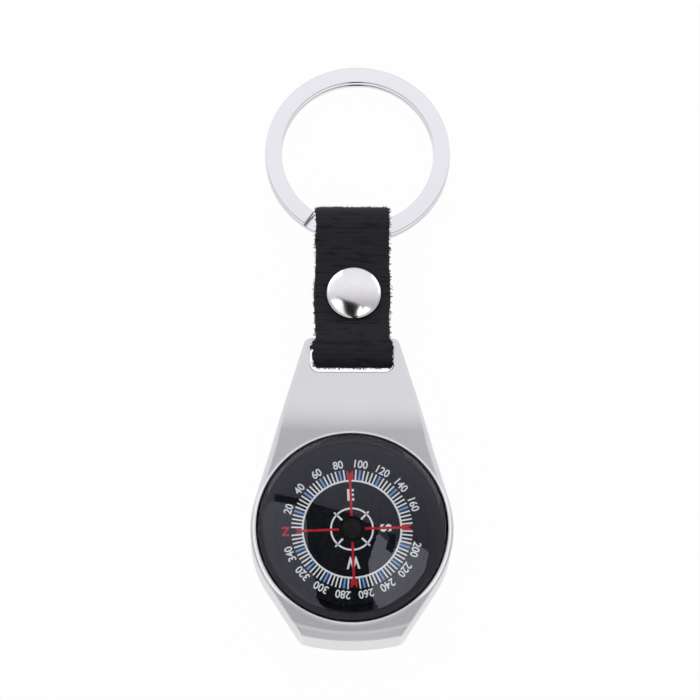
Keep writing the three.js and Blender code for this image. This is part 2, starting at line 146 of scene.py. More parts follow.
# %% [markdown]
# ### Satin nickel
# The housing is die-cast zinc, bead-blasted and nickel-plated. Blasting leaves pits of about a tenth of a
# millimetre, too fine to see one by one, that spread each reflection into a soft sheen.
# Roughness gives the sheen and a bump gives the pits. Edges are rubbed smoother in a pocket, so the rounded edges
# take a second finish, a little smoother and painted a little paler as a painted highlight. The lip round the lens is
# painted near white, a painted highlight, with a slightly smoother gloss. The slot's rim is painted dark grey, a
# painted reflection of the black strap, which reads as a thin dark line.

# %% Satin nickel
CLOUD, BLAST, MIDDLE = (6, 3), (0.16, 2), (0.3, 0.7)


def satin_metal(name, dark, pale, smooth, rough, pit):
    """A blasted, plated metal: cloudy plating, and pits that break up the gloss."""
    return grained(name, dark, pale, (smooth, rough), (pit, 0.02), (CLOUD, BLAST, BLAST), METAL, MIDDLE)


satin_nickel = satin_metal("satin_nickel_on_die_cast_zinc", "#d5d5d7", "#dddddf", 0.27, 0.35, 0.05)
# Painted highlight: the rounded edges are a little paler than the plate, besides being a little smoother.
edge_nickel_painted_highlight = satin_metal("rubbed_edge_painted_highlight", "#dcdcde", "#e4e4e6", 0.25, 0.32, 0.03)
# Painted highlight: the lip is near white, paler than any nickel, with a slightly smoother gloss.
lip_painted_highlight = satin_metal("nickel_lip_painted_highlight", "#eeeef0", "#f7f7f8", 0.18, 0.25, 0.04)
# Painted reflection: the slot's rim is dark grey, as the black strap looks in it.
worn_zinc = satin_metal("worn_zinc_slot_rim", "#3e3e42", "#56565a", 0.35, 0.5, 0.08)
print("satin nickel, its rubbed edge and lip with painted highlights and its slot rim with a painted reflection made")

# %% [markdown]
# ### Bright nickel and steel
# The rivet is stamped sheet with a polished plate, so it mirrors the room with only a faint orange-peel ripple.
# The split ring is drawn wire, also plated, its shine clouded by wear and broken by fine scratches.

# %% Bright nickel and steel
RIPPLE, WEAR, SCRATCH = (1.6, 2), (2.5, 3), (0.2, 1)
bright_nickel = grained("polished_nickel_plate", "#e2e0e1", "#ebe9ea", (0.08, 0.15), (0.08, 0.03),
                        (RIPPLE, RIPPLE, RIPPLE), METAL)
ring_steel = grained("nickel_plated_spring_steel", "#e6e5e9", "#eeedf0", (0.1, 0.18), (0.06, 0.02),
                     (WEAR, WEAR, SCRATCH), METAL, MIDDLE)
print("bright nickel and ring steel made")

# %% [markdown]
# ### Plastics and inks
# The capsule's cup is moulded ABS, painted dark grey rather than black as painted light, because the gap round the
# card where it shows gets little light. The card is a gloss black print, and the marks are screen-printed inks, a
# little uneven where the screen laid them down thin. What lies in the capsule's liquid keeps little shine, because
# the liquid's index is close to that of plastic and ink.

# %% Plastics, inks and small hidden parts
def moulded(name, dark, pale, smooth, rough, grain, pit, shine=0.5):
    """A non-metal with a fine grain: its colour, gloss and surface all vary with the same noise."""
    optics = {"IOR": 1.5, "Specular IOR Level": shine}
    return grained(name, dark, pale, (smooth, rough), (pit, 0.03), ((grain, 3),) * 3, optics)


WET = 0.06
# Painted light: the ABS is dark grey, not black, so that the shaded gap round the card does not look black.
abs_painted_lighter = moulded("dark_moulded_abs", "#45474d", "#505258", 0.3, 0.45, 0.5, 0.1, WET)
card_black = moulded("gloss_black_card", "#121419", "#16181d", 0.2, 0.35, 0.8, 0.03, WET)
white_ink = moulded("white_screen_ink", "#e6e8ea", "#fbfcfd", 0.45, 0.6, 0.3, 0.1, WET)
red_ink = moulded("red_screen_ink", "#a81a20", "#d43a3c", 0.4, 0.55, 0.5, 0.1, WET)
blue_ink = moulded("blue_screen_ink", "#142c5a", "#2a5a92", 0.4, 0.55, 1.1, 0.1, WET)
pale_blue_ink = moulded("pale_blue_screen_ink", "#5f92c0", "#b4cde6", 0.4, 0.55, 0.9, 0.1, WET)
hub_brown = moulded("bronzed_hub_lacquer", "#1d1a1a", "#2b2828", 0.3, 0.45, 0.6, 0.1, WET)
seal_rubber = moulded("black_nitrile_rubber", "#101012", "#1a1a1c", 0.7, 0.9, 0.3, 0.2)
foam_tape = moulded("white_foam_tape", "#c9ccce", "#dfe1e2", 0.8, 0.95, 0.25, 0.4)
ferrite = moulded("sintered_ferrite", "#26262a", "#36363b", 0.55, 0.75, 0.2, 0.3)
needle_steel = satin_metal("ground_needle_steel", "#a5a7ac", "#b9bbc0", 0.2, 0.3, 0.05)
jewel_brass = satin_metal("turned_brass", "#b08d4a", "#c3a15c", 0.25, 0.38, 0.05)
print("plastics, inks and hidden finishes made")

# %% [markdown]
# ### Clear acrylic
# The lens is moulded acrylic, which mirrors about 4 percent of the light that meets it straight on and lets the
# rest through. Liquid of nearly the same index wets its inner face, so that face hardly mirrors at all: the eye
# sees one reflection of the room, and the dial lifted and slightly enlarged.
# Light for the card would have to find its way in through bent surfaces, so the shader lets shadow rays and the
# card's own diffuse rays straight through, and the print is as bright as it really is.

# %% Clear acrylic
def clear_plastic(name, index):
    """Clear acrylic with a faint haze, against a neighbour with the given relative index."""
    material, tree = start_finish(name)
    place = add_node(tree, "ShaderNodeTexCoord").outputs["Object"]
    haze = add_node(tree, "ShaderNodeTexNoise", values={"Scale": 1 / (3 * MM), "Detail": 3}, links={"Vector": place})
    wave = add_node(tree, "ShaderNodeBump", values={"Strength": 0.05, "Distance": 0.02 * MM}, links={"Height": haze})
    optics = {"Base Color": linear("#fcfdfd"), "Roughness": 0, "IOR": index, "Transmission Weight": 1,
              "Specular Tint": linear("#ececff")}
    shader = add_node(tree, "ShaderNodeBsdfPrincipled", values=optics, links={"Normal": wave})
    clear = add_node(tree, "ShaderNodeBsdfTransparent", values={"Color": linear("#f8f9fa")})
    rays = add_node(tree, "ShaderNodeLightPath").outputs
    lighting = add_node(tree, "ShaderNodeMath", MAXIMUM, links={0: rays["Is Shadow Ray"], 1: rays["Is Diffuse Ray"]})
    either = add_node(tree, "ShaderNodeMixShader", links={0: lighting, 1: shader, 2: clear})
    add_node(tree, "ShaderNodeOutputMaterial", links={"Surface": either})
    return material


acrylic = clear_plastic("clear_moulded_acrylic", 1.49)
wet_acrylic = clear_plastic("clear_acrylic_wetted_by_liquid", 1.03)
print("acrylic made, dry and wet")

# %% [markdown]
# ### Nylon webbing
# The strap is black nylon webbing: cross threads every 0.68 mm, bound by threads that run along it, about two to
# the millimetre. The ribs are real geometry; the fine threads, and the broken creases of webbing that has been bent
# often, are bump from the strap's own UV map, whose units are metres across and along the cloth. Its colour follows
# the same height as painted shade and highlight: darker in the valleys between ribs and threads, paler on the ribs,
# the threads and the creases, with a random tone from a fine noise.
# Nylon is dark and matt, with a faint sheen where threads turn away from the eye. Its loose fibres are black like
# the rest, and some are painted pale as glints.

# %% Nylon webbing
RIB_PITCH, THREAD_PITCH = 0.68, 0.5
CREASE_LONG, CREASE_WIDE, FUZZ = 4.5, 0.75, 0.22

webbing, tree = start_finish("black_nylon_webbing")
cloth = add_node(tree, "ShaderNodeUVMap", {"uv_map": "cloth"})
across_along = add_node(tree, "ShaderNodeSeparateXYZ", links={"Vector": cloth}).outputs
rib_turn = add_node(tree, "ShaderNodeMath", MULTIPLY, {1: math.pi / (RIB_PITCH * MM)}, {0: across_along["Y"]})
rib_sine = add_node(tree, "ShaderNodeMath", SINE, links={0: rib_turn})
rib_wave = add_node(tree, "ShaderNodeMath", ABSOLUTE, links={0: rib_sine})
thread_turn = add_node(tree, "ShaderNodeMath", MULTIPLY, {1: math.tau / (THREAD_PITCH * MM)}, {0: across_along["X"]})
thread_wave = add_node(tree, "ShaderNodeMath", SINE, links={0: thread_turn})
woven = add_node(tree, "ShaderNodeMath", MULTIPLY, links={0: thread_wave, 1: rib_sine})
stretch = (1 / (CREASE_LONG * MM), 1 / (CREASE_WIDE * MM), 1)
stretched = add_node(tree, "ShaderNodeMapping", values={"Scale": stretch}, links={"Vector": cloth})
crease = add_node(tree, "ShaderNodeTexNoise", values={"Scale": 1, "Detail": 2}, links={"Vector": stretched})
broken = {"From Min": 0.34, "From Max": 0.48}
open_crease = add_node(tree, "ShaderNodeMapRange", values=broken, links={"Value": crease})
place = add_node(tree, "ShaderNodeTexCoord").outputs["Object"]
fuzz = add_node(tree, "ShaderNodeTexNoise", values={"Scale": 1 / (FUZZ * MM), "Detail": 3}, links={"Vector": place})
ribbed = add_node(tree, "ShaderNodeMath", MULTIPLY_ADD, {1: 0.3}, {0: rib_wave, 2: open_crease})
threaded = add_node(tree, "ShaderNodeMath", MULTIPLY_ADD, {1: 0.2}, {0: woven, 2: ribbed})
height = add_node(tree, "ShaderNodeMath", MULTIPLY_ADD, {1: 0.9}, {0: fuzz, 2: threaded})
# Painted shade: the colour follows the height, darker in the valleys and paler on ribs, threads and creases.
lit = add_node(tree, "ShaderNodeMapRange", values={"From Min": 0.3, "From Max": 2.0}, links={"Value": height})
colour = add_node(tree, "ShaderNodeMix", OF_COLOURS, {6: linear("#0e0e11"), 7: linear("#2a2930")}, {0: lit})
bump = add_node(tree, "ShaderNodeBump", values={"Strength": 0.4, "Distance": 0.08 * MM}, links={"Height": height})
nylon = {"Roughness": 0.75, "IOR": 1.53, "Specular IOR Level": 0.17, "Sheen Weight": 0.07, "Sheen Roughness": 0.45,
         "Sheen Tint": linear("#cfccd8")}
shader = add_node(tree, "ShaderNodeBsdfPrincipled", values=nylon,
                  links={"Base Color": colour.outputs[2], "Normal": bump})
add_node(tree, "ShaderNodeOutputMaterial", links={"Surface": shader})
# Painted glints: the loose fibres run from black to pale grey instead of staying black.
loose_fibre_painted_glint = moulded("loose_nylon_fibre_painted_glint", "#050506", "#6e6e74", 0.5, 0.7, 0.6, 0.05, 0.2)
print("webbing: rib pitch", RIB_PITCH, "mm, thread pitch", THREAD_PITCH, "mm")

# %% [markdown]
# ## Making meshes
# Most pieces are turned on an axis or lofted, from outlines in millimetres. One helper draws an arc, one rounds
# the corners of an outline, and one turns an outline round the Z axis.
# The others put a finished mesh on the object: they place it in metres, smooth its faces but keep its creases
# sharp, and say which body carries it and which node it stands for.

# %% Outline helpers
SAME_POINT = 1e-5
HERE = Matrix.Identity(4)


def clamped(value):
    return min(1, max(0, value))


def arc(radius, first, last, count, at=(0, 0)):
    """Points on a part of a circle, from one angle to another."""
    angles = [first + (last - first) * k / count for k in range(count + 1)]
    return [(at[0] + radius * math.cos(a), at[1] + radius * math.sin(a)) for a in angles]


def soften(points, radius, count=4):
    """A line of 2-D points with each inner corner rounded."""
    made = [points[0]]
    for before, here, after in zip(points, points[1:], points[2:]):
        corner = Vector(here)
        to_before, to_after = Vector(before) - corner, Vector(after) - corner
        reach = min(radius, to_before.length * 0.49, to_after.length * 0.49)
        first, last = corner + to_before.normalized() * reach, corner + to_after.normalized() * reach
        for t in [k / count for k in range(count + 1)]:
            made.append(tuple(first * (1 - t) ** 2 + corner * 2 * t * (1 - t) + last * t * t))
    return made + [points[-1]]


def turned(profile, steps=144):
    """A bmesh of (radius, height) points turned round the Z axis. A closed profile ends at its first point."""
    bm = bmesh.new()
    rings = []
    for radius, z in profile:
        if radius < 1e-6:
            rings.append([bm.verts.new((0, 0, z))] * steps)
        else:
            rings.append([bm.verts.new((x, y, z)) for x, y in arc(radius, 0, math.tau, steps)[:-1]])
    for low, high in zip(rings, rings[1:]):
        for k in range(steps):
            corners = [low[k], low[(k + 1) % steps], high[(k + 1) % steps], high[k]]
            corners = [v for i, v in enumerate(corners) if v not in corners[:i]]
            if len(corners) > 2:
                bm.faces.new(corners)
    bmesh.ops.remove_doubles(bm, verts=bm.verts, dist=SAME_POINT)
    bmesh.ops.recalc_face_normals(bm, faces=bm.faces)
    return bm


print("outline helpers ready")

# %% Piece helpers
def new_object(name, mesh, materials):
    """An object at the origin that holds a mesh in metres."""
    made = bpy.data.objects.new(name, mesh)
    scene.collection.objects.link(made)
    mesh.materials.clear()
    for material in materials:
        mesh.materials.append(material)
    return made


def mesh_of(bm, name, place=HERE):
    """The mesh of a bmesh in millimetres, put in its place in metres."""
    bm.transform(Matrix.Scale(MM, 4) @ place)
    mesh = bpy.data.meshes.new(name)
    bm.to_mesh(mesh)
    bm.free()
    return mesh


def carry(piece, body, nodes=()):
    """Gives a piece its body and the nodes that it stands for."""
    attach(piece, body)
    if nodes:
        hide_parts(*nodes)
    print(piece.name, len(piece.data.polygons), "faces, size in mm", [round(d / MM, 2) for d in piece.dimensions])
    return piece


def fit(piece, body, nodes=(), crease=35):
    """Smooths a finished piece up to a crease in degrees, and gives it its body and nodes."""
    piece.data.shade_smooth()
    piece.data.set_sharp_from_angle(angle=math.radians(crease))
    return carry(piece, body, nodes)


def turned_piece(name, line, materials, body, node, place=HERE, steps=144, crease=35):
    """A piece that is one outline turned round its axis, finished and put in its place."""
    piece = new_object(name, mesh_of(turned(line, steps), name, place), materials)
    return fit(piece, body, [node], crease)


def settle(piece):
    """Turns a piece and its modifiers into a plain mesh."""
    mesh = bpy.data.meshes.new_from_object(piece.evaluated_get(bpy.context.evaluated_depsgraph_get()))
    piece.modifiers.clear()
    piece.data = mesh
    return piece


def flatten_plates(piece):
    """Weighted normals: flat plates stay flat to the eye, and rounded rims shade smoothly into them."""
    weighted = piece.modifiers.new("plates", "WEIGHTED_NORMAL")
    weighted.weight, weighted.keep_sharp = 100, True
    return settle(piece)


print("piece helpers ready")

# %% [markdown]
# ## Housing
# The housing is one casting: a round head whose sides run on in straight lines to a narrow tab, a flat crown that
# bends down into the tab, a blunt bowed end with a chamfer, and a thin raised lip round the lens.
# It could be cut from a block with booleans alone. Its plan is drawn first instead, point by point down one side,
# because the top and the underside are ruled across it: flat plates where the casting is flat, narrow strips where
# it bends.

# %% Housing plan
HEAD, CROWN = 16.25, 9.3
END_REACH, END_BOW, END_HALF = 18.30, 0.95, 8.1
END_CORNER = (END_HALF, END_BOW - END_REACH)
TAB_REACH, TAB_HALF, TAB_CORNER = 31.9, 7.5, 0.8
BEND, TOP_BEND, UNDER_BEND, BEND_STEPS = 5, 15.93, 13.93, 16
BENDS = sorted({round(start + BEND * k / BEND_STEPS, 6)
                for start in (TOP_BEND, UNDER_BEND) for k in range(BEND_STEPS + 1)})
HEAD_STEPS, SIDE_STEPS, CORNER_STEPS = 40, 12, 8


def touch_point(x, y):
    """Where the line from a corner touches the round head."""
    swing = math.acos(HEAD / math.hypot(x, y)) * (-1 if y > 0 else 1)
    angle = math.atan2(y, x) + swing
    return HEAD * math.cos(angle), HEAD * math.sin(angle)


low_touch, high_touch = touch_point(*END_CORNER), touch_point(TAB_HALF, TAB_REACH)
LEAN_IN = (TAB_HALF - high_touch[0]) / (TAB_REACH - high_touch[1])


def straight(y):
    """Half the plan's width where its side runs straight to the tab."""
    return high_touch[0] + LEAN_IN * (y - high_touch[1])


def side_outline():
    """The right side of the plan, from the blunt end's corner to the tab's end."""
    points = [END_CORNER, tuple(Vector(END_CORNER).lerp(Vector(low_touch), 0.5))]
    points += arc(HEAD, math.atan2(*low_touch[::-1]), math.atan2(*high_touch[::-1]), HEAD_STEPS)
    run = BENDS[0] - high_touch[1]
    before_bends = [high_touch[1] + run * k / SIDE_STEPS for k in range(1, SIDE_STEPS)]
    points += [(straight(y), y) for y in before_bends + BENDS]
    for turn in [math.pi / 2 * k / CORNER_STEPS for k in range(CORNER_STEPS + 1)]:
        y = TAB_REACH - TAB_CORNER * (1 - math.sin(turn))
        points.append((straight(y) - TAB_CORNER * (1 - math.cos(turn)), y))
    return points


plan = side_outline()
print("plan has", len(plan), "points a side, widest", round(max(x for x, y in plan) * 2, 2), "mm")

# %% [markdown]
# The heights follow from where the crown and the underside leave their levels. Each face turns over 5 mm and then
# runs straight to the tab, which is 2.5 mm thick.

# %% Rails of the housing
TAB_LOW, TAB_HIGH = 3.95, 6.45
CHAMFER_RUN, CHAMFER_DROP, CHAMFER_SIDE = 1.5, 1.2, 2.15
END_STEPS = 24


def ramp(y, level, start, end_level):
    """A height that stays level, bends from its start and then runs straight to the tab's end."""
    slope = (end_level - level) / (TAB_REACH - start - BEND / 2)
    run = max(0, y - start)
    return level + (slope * run ** 2 / (2 * BEND) if run < BEND else slope * (run - BEND / 2))


def rails(level, start, end_level):
    """The plan's two sides as points at their heights."""
    return {side: [bm.verts.new((side * x, y, ramp(y, level, start, end_level))) for x, y in plan]
            for side in (1, -1)}


def bowed_row(ends, half, bow, height):
    """A row of points across the blunt end, from its right end to its left one."""
    xs = [half * (1 - 2 * k / END_STEPS) for k in range(1, END_STEPS)]
    return [ends[1]] + [bm.verts.new((x, bow(x), height)) for x in xs] + [ends[-1]]


def end_bow(x):
    return END_BOW * (x / END_HALF) ** 2 - END_REACH


def chamfer_bow(x):
    return CHAMFER_RUN - END_REACH + (meet.y - CHAMFER_RUN + END_REACH) * (x / meet.x) ** 2


bm = bmesh.new()
upper, lower = rails(CROWN, TOP_BEND, TAB_HIGH), rails(0, UNDER_BEND, TAB_LOW)
for side in (1, -1):
    upper[side][0].co.z -= CHAMFER_DROP
end_top = bowed_row({side: upper[side][0] for side in upper}, END_HALF, end_bow, CROWN - CHAMFER_DROP)
end_low = bowed_row({side: lower[side][0] for side in lower}, END_HALF, end_bow, 0)
to_touch = Vector(low_touch) - Vector(END_CORNER)
meet = Vector(END_CORNER) + to_touch * (CHAMFER_SIDE / to_touch.y)
shoulder = {side: bm.verts.new((side * meet.x, meet.y, CROWN)) for side in (1, -1)}
chamfer_top = bowed_row(shoulder, meet.x, chamfer_bow, CROWN)
print("rails and rows", len(bm.verts), "points")

# %% [markdown]
# Faces close the blank: a plate, strips over the bend and the tab's plate above and below, then the side walls, the
# tab's end, and the blunt end with its chamfer.

# %% Faces of the housing
for rail, row, start in ((upper, chamfer_top, TOP_BEND), (lower, end_low, UNDER_BEND)):
    bend = [i for i, (x, y) in enumerate(plan) if start - 1e-6 <= y <= start + BEND + 1e-6]
    bm.faces.new(row[::-1] + rail[1][1:bend[0] + 1] + rail[-1][bend[0]:0:-1])
    for i, j in zip(bend, bend[1:]):
        bm.faces.new((rail[1][i], rail[1][j], rail[-1][j], rail[-1][i]))
    bm.faces.new(rail[1][bend[-1]:] + rail[-1][:bend[-1] - 1:-1])
for side in (1, -1):
    bm.faces.new((lower[side][0], lower[side][1], upper[side][1], shoulder[side], upper[side][0]))
    for i in range(1, len(plan) - 1):
        bm.faces.new((lower[side][i], lower[side][i + 1], upper[side][i + 1], upper[side][i]))
bm.faces.new((lower[1][-1], lower[-1][-1], upper[-1][-1], upper[1][-1]))
for k in range(END_STEPS):
    bm.faces.new((end_low[k], end_low[k + 1], end_top[k + 1], end_top[k]))
    bm.faces.new((end_top[k], end_top[k + 1], chamfer_top[k + 1], chamfer_top[k]))
bmesh.ops.recalc_face_normals(bm, faces=bm.faces)
open_edges = sum(not e.is_manifold for e in bm.edges)
print("blank", len(bm.faces), "faces, volume", round(bm.calc_volume()), "mm3, open edges", open_edges)

# %% [markdown]
# A casting has no knife edges. Each sharp edge is rounded with a bevel whose width is stored edge by edge: the rims
# about half a millimetre, the chamfer's upper line a little less, and the shoulders beside the head twice as much.

# %% Round the edges
RIM, SHOULDER_RIM, SHARP = 0.46, 1.0, 24
SHOULDER_RISE, SHOULDER_FALL = (2, 11), (20.5, 13)
# Finish indices: edges paler as a painted highlight, the lip near white as a painted highlight, and the slot's rim dark
# as a painted reflection.
RUBBED_HIGHLIGHT, LIP_HIGHLIGHT, SLOT_REFLECTION = 1, 2, 3


def smooth_step(value, low, high):
    """Runs from 0 to 1 between two values, with soft ends."""
    share = clamped((value - low) / (high - low))
    return share * share * (3 - 2 * share)


def rim_round(edge):
    """How far a sharp edge is rounded, in mm: most along the upper shoulders."""
    if all(v in chamfer_top for v in edge.verts):
        return 0.9 * RIM
    if not all(v in upper[1] or v in upper[-1] for v in edge.verts):
        return RIM
    y = sum(v.co.y for v in edge.verts) / 2
    return RIM + (SHOULDER_RIM - RIM) * smooth_step(y, *SHOULDER_RISE) * smooth_step(y, *SHOULDER_FALL)


weights = bm.edges.layers.float.new("bevel_weight_edge")
for edge in bm.edges:
    if edge.calc_face_angle(0) > math.radians(SHARP):
        edge[weights] = rim_round(edge) / SHOULDER_RIM
finishes = [satin_nickel, edge_nickel_painted_highlight, lip_painted_highlight, worn_zinc]
housing = new_object("housing_casting", mesh_of(bm, "housing_casting"), finishes)
# The rounded edges take the paler finish, a painted highlight.
bevel = housing.modifiers.new("rims", "BEVEL")
bevel.limit_method, bevel.width, bevel.segments, bevel.material = "WEIGHT", SHOULDER_RIM * MM, 5, RUBBED_HIGHLIGHT
bevel.use_clamp_overlap = bevel.loop_slide = False
print("rims", RIM, "mm, shoulders", SHOULDER_RIM, "mm")

# %% [markdown]
# Then the lip is added, and the capsule's pocket and the strap's slot are cut. Each tool is a plain solid, and exact
# booleans join it to the casting or take it away. The slot's corners are rounder on the side of the lens.

# %% Add the lip and cut the pocket and the slot
POCKET, FLOOR, ABOVE = 15.33, 1.6, 12
LIP_IN, LIP, LIP_FOOT, LIP_LOW, LIP_TOP = 14.6, 15.57, 16.137, CROWN - 0.6, 10.2
SLOT_HALF, SLOT_LOW, SLOT_HIGH, SLOT_CORNER, BAR_CORNER = 6.75, 25.94, 30.6, 1.5, 0.5


def flat_shape(points, z=0):
    """A flat face from its corners."""
    bm = bmesh.new()
    bm.faces.new([bm.verts.new((x, y, z)) for x, y in points])
    return bm


def thicken(shape, height):
    """Raises a flat shape into a solid."""
    raised = bmesh.ops.extrude_face_region(shape, geom=shape.faces[:])["geom"]
    bmesh.ops.translate(shape, vec=(0, 0, height), verts=[v for v in raised if isinstance(v, bmesh.types.BMVert)])
    bmesh.ops.recalc_face_normals(shape, faces=shape.faces)
    return shape


lip_line = [(LIP_IN, LIP_LOW), (LIP_FOOT, LIP_LOW), (LIP, LIP_TOP), (LIP_IN, LIP_TOP), (LIP_IN, LIP_LOW)]
pocket_line = [(0, FLOOR), (POCKET, FLOOR), (POCKET, ABOVE), (0, ABOVE)]
lens_side, bar_side = (SLOT_LOW + SLOT_CORNER, SLOT_CORNER), (SLOT_HIGH - BAR_CORNER, BAR_CORNER)
slot_plan = []
for way, (y, r), start in ((1, lens_side, -90), (1, bar_side, 0), (-1, bar_side, 90), (-1, lens_side, 180)):
    slot_plan += arc(r, math.radians(start), math.radians(start + 90), 10, (way * (SLOT_HALF - r), y))
tools = []
for name, shape, work in (("lip_tool", turned(lip_line, 180), "UNION"),
                          ("pocket_tool", turned(pocket_line, 180), "DIFFERENCE"),
                          ("slot_tool", thicken(flat_shape(slot_plan, -1), ABOVE + 1), "DIFFERENCE")):
    tools.append(new_object(name, mesh_of(shape, name), [satin_nickel]))
    boolean = housing.modifiers.new(name, "BOOLEAN")
    boolean.object, boolean.operation, boolean.solver = tools[-1], work, "EXACT"
settle(housing)
for tool in tools:
    bpy.data.objects.remove(tool)
print("housing", len(housing.data.polygons), "faces after the cuts")

# %% [markdown]
# The cuts leave sharp rims on the slot and the lip, which are rounded next. Weighted normals then keep the flat
# plates flat to the eye while the rounded rims shade smoothly into them.

# %% Rims of the slot and the lip
SLOT_ROUND, LIP_ROUND, CUT_SHARP, NEAR = 0.22, 0.1, 50, 0.01


def by_slot(p):
    return abs(p.x) < SLOT_HALF + NEAR and SLOT_LOW - NEAR < p.y < SLOT_HIGH + NEAR


bm = bmesh.new()
bm.from_mesh(housing.data)
bmesh.ops.remove_doubles(bm, verts=bm.verts, dist=1e-7)
slot_rim, lip_rim = [], []
for edge in bm.edges:
    if edge.calc_face_angle(0) < math.radians(CUT_SHARP):
        continue
    ends = [v.co / MM for v in edge.verts]
    if all(by_slot(p) for p in ends) and abs(ends[0].z - ends[1].z) < 0.5:
        slot_rim.append(edge)
    elif all(abs(p.z - LIP_TOP) < NEAR for p in ends):
        lip_rim.append(edge)
counts = len(slot_rim), len(lip_rim)
# The slot's rim takes the dark painted reflection, and the lip's top edge takes the paler finish with its painted
# highlight.
for rim, width, segments, finish in ((slot_rim, SLOT_ROUND, 4, SLOT_REFLECTION), (lip_rim, LIP_ROUND, 3, RUBBED_HIGHLIGHT)):
    bmesh.ops.bevel(bm, geom=[e for e in rim if e.is_valid], offset=width * MM, segments=segments, profile=0.5,
                    affect="EDGES", material=finish, clamp_overlap=True)
# The lip's top and flank take the near-white painted highlight.
for face in bm.faces:
    middle = face.calc_center_median() / MM
    if middle.z > CROWN + 0.05 and POCKET - 0.1 < middle.xy.length < LIP_FOOT:
        face.material_index = LIP_HIGHLIGHT
bm.to_mesh(housing.data)
bm.free()
housing.data.shade_smooth()
housing.data.set_sharp_from_angle(angle=math.radians(40))
carry(flatten_plates(housing), "housing", ["housing"])
print("rounded", counts[0], "slot edges and", counts[1], "lip edges")

# %% [markdown]
# ## Capsule
# A cup sits in the pocket, moulded ABS painted dark grey as painted light for the shaded gap round the card, and a
# clear dome closes it. Both are round, so each is one outline turned on the needle's axis. A narrow gap between the
# lens and the lip lets the dark cup show as a thin line; the dome runs on smoothly into a rounded edge, which mirrors
# the tent's sides as a pale crescent.

# %% Cup and lens
CUP, CUP_LOW, SEAT = 15.18, 1.9, 8.6
CAVITY, CAVITY_FLOOR = 14.2, 3.1
BOSS, BOSS_TOP, PIN_HOLE, PIN_FLOOR = 1.6, CAVITY_FLOOR + 1, 0.5, 2.6
cup_line = [(0, CUP_LOW), (CUP, CUP_LOW), (CUP, SEAT), (CAVITY, SEAT), (CAVITY, CAVITY_FLOOR), (BOSS, CAVITY_FLOOR),
            (BOSS, BOSS_TOP), (PIN_HOLE, BOSS_TOP), (PIN_HOLE, PIN_FLOOR), (0, PIN_FLOOR)]
turned_piece("capsule_cup_moulding", soften(cup_line, 0.12, 3), [abs_painted_lighter], "housing", "capsule_cup")


def dome_line(radius, base, rise, count, power=2):
    """The outline of a low dome, from its top to its edge."""
    return [(radius * k / count, base + rise * (1 - (k / count) ** power)) for k in range(count + 1)]


LENS, LENS_LOW, LENS_ROUND, WALL = 15.11, 8.9, 1.1, 1.3
SHOULDER, RISE, DOME_ABOUT = 9.7, 1.3, 14.2
# The rounded edge starts with the lean that the dome ends with, so that no kink shows between them.
LEAN = math.atan(2 * RISE / DOME_ABOUT)
DOME = LENS - LENS_ROUND * (1 - math.sin(LEAN))
outer_dome = dome_line(DOME, SHOULDER + LENS_ROUND, RISE, 40)
inner_dome = dome_line(DOME - WALL / 2, SHOULDER + LENS_ROUND - WALL, RISE, 40)
turns = [LEAN + (math.pi / 2 - LEAN) * k / 10 for k in range(1, 11)]
bead = [(DOME + LENS_ROUND * (math.sin(a) - math.sin(LEAN)),
         SHOULDER + LENS_ROUND * (1 + math.cos(a) - math.cos(LEAN))) for a in turns]
rim_line = soften(bead + [(LENS, LENS_LOW), (DOME - WALL / 2, LENS_LOW), inner_dome[-1]], 0.15, 3)
lens = turned_piece("lens_moulding", outer_dome + rim_line[:-1] + inner_dome[::-1], [acrylic, wet_acrylic], "housing",
                    "lens", steps=160, crease=50)
for face in lens.data.polygons:
    faces_in = face.normal.x * face.center.x + face.normal.y * face.center.y < 0
    face.material_index = 1 if faces_in or face.normal.z < -0.5 else 0

# %% [markdown]
# The pieces under the card are hidden or nearly so. Their nodes already have the right shapes, so they stay as they
# are and only take their real finishes.

# %% Hidden pieces
hidden = {"capsule_tape": foam_tape, "filler_plug": seal_rubber, "pivot_pin": needle_steel, "lens_seal": seal_rubber,
          "card_float": abs_painted_lighter, "jewel_bearing": jewel_brass, "magnet_left": ferrite, "magnet_right": ferrite}
for node, finish in hidden.items():
    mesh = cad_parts[node].data
    mesh.materials.clear()
    mesh.materials.append(finish)
print("hidden nodes dressed", len(hidden))

# %% [markdown]
# ## Card
# The card is a gloss black disc that turns on the needle, with a small bronzed cap over its bearing. In the photo
# north lies to the left, so the whole card stands turned by 92.2 degrees.
# The print is raised 0.03 mm, about as thick as screen ink lies, so that it catches light as ink does and never
# flickers with the card's face.

# %% Card disc and hub
HEADING = 92.2
CARD, CARD_HOLE, CARD_LOW, CARD_TOP = 12.2, 1.2, 6.65, 7.05
HUB, HUB_RISE = 1.6, 0.55
card_frame = Matrix.Rotation(math.radians(HEADING), 4, "Z")
card_line = [(CARD_HOLE, CARD_LOW), (CARD, CARD_LOW), (CARD, CARD_TOP), (CARD_HOLE, CARD_TOP), (CARD_HOLE, CARD_LOW)]
hub_line = [(0, CARD_TOP), (HUB, CARD_TOP)]
hub_line += [(HUB * math.cos(a) ** 0.8, CARD_TOP + HUB_RISE * (0.4 + 0.6 * math.sin(a)))
             for a in [math.pi / 2 * k / 10 for k in range(11)]]
turned_piece("card_disc", soften(card_line, 0.08, 3), [card_black], "card", "card_face", card_frame)
turned_piece("hub_cap_turning", hub_line, [hub_brown], "card", "hub_cap", card_frame, 64)

# %% [markdown]
# ### Ticks and blocks
# Ninety marks stand round the card, one every 4 degrees. Every fifth is a wide blue block with a pale streak; those
# that would lie under the red heads are left out. A rule like this is what Geometry Nodes are for: points on a
# circle, a bar on each, and a choice by the point's number.
# All trees here start with their named sizes and end in the same three nodes. Each result becomes a plain mesh.

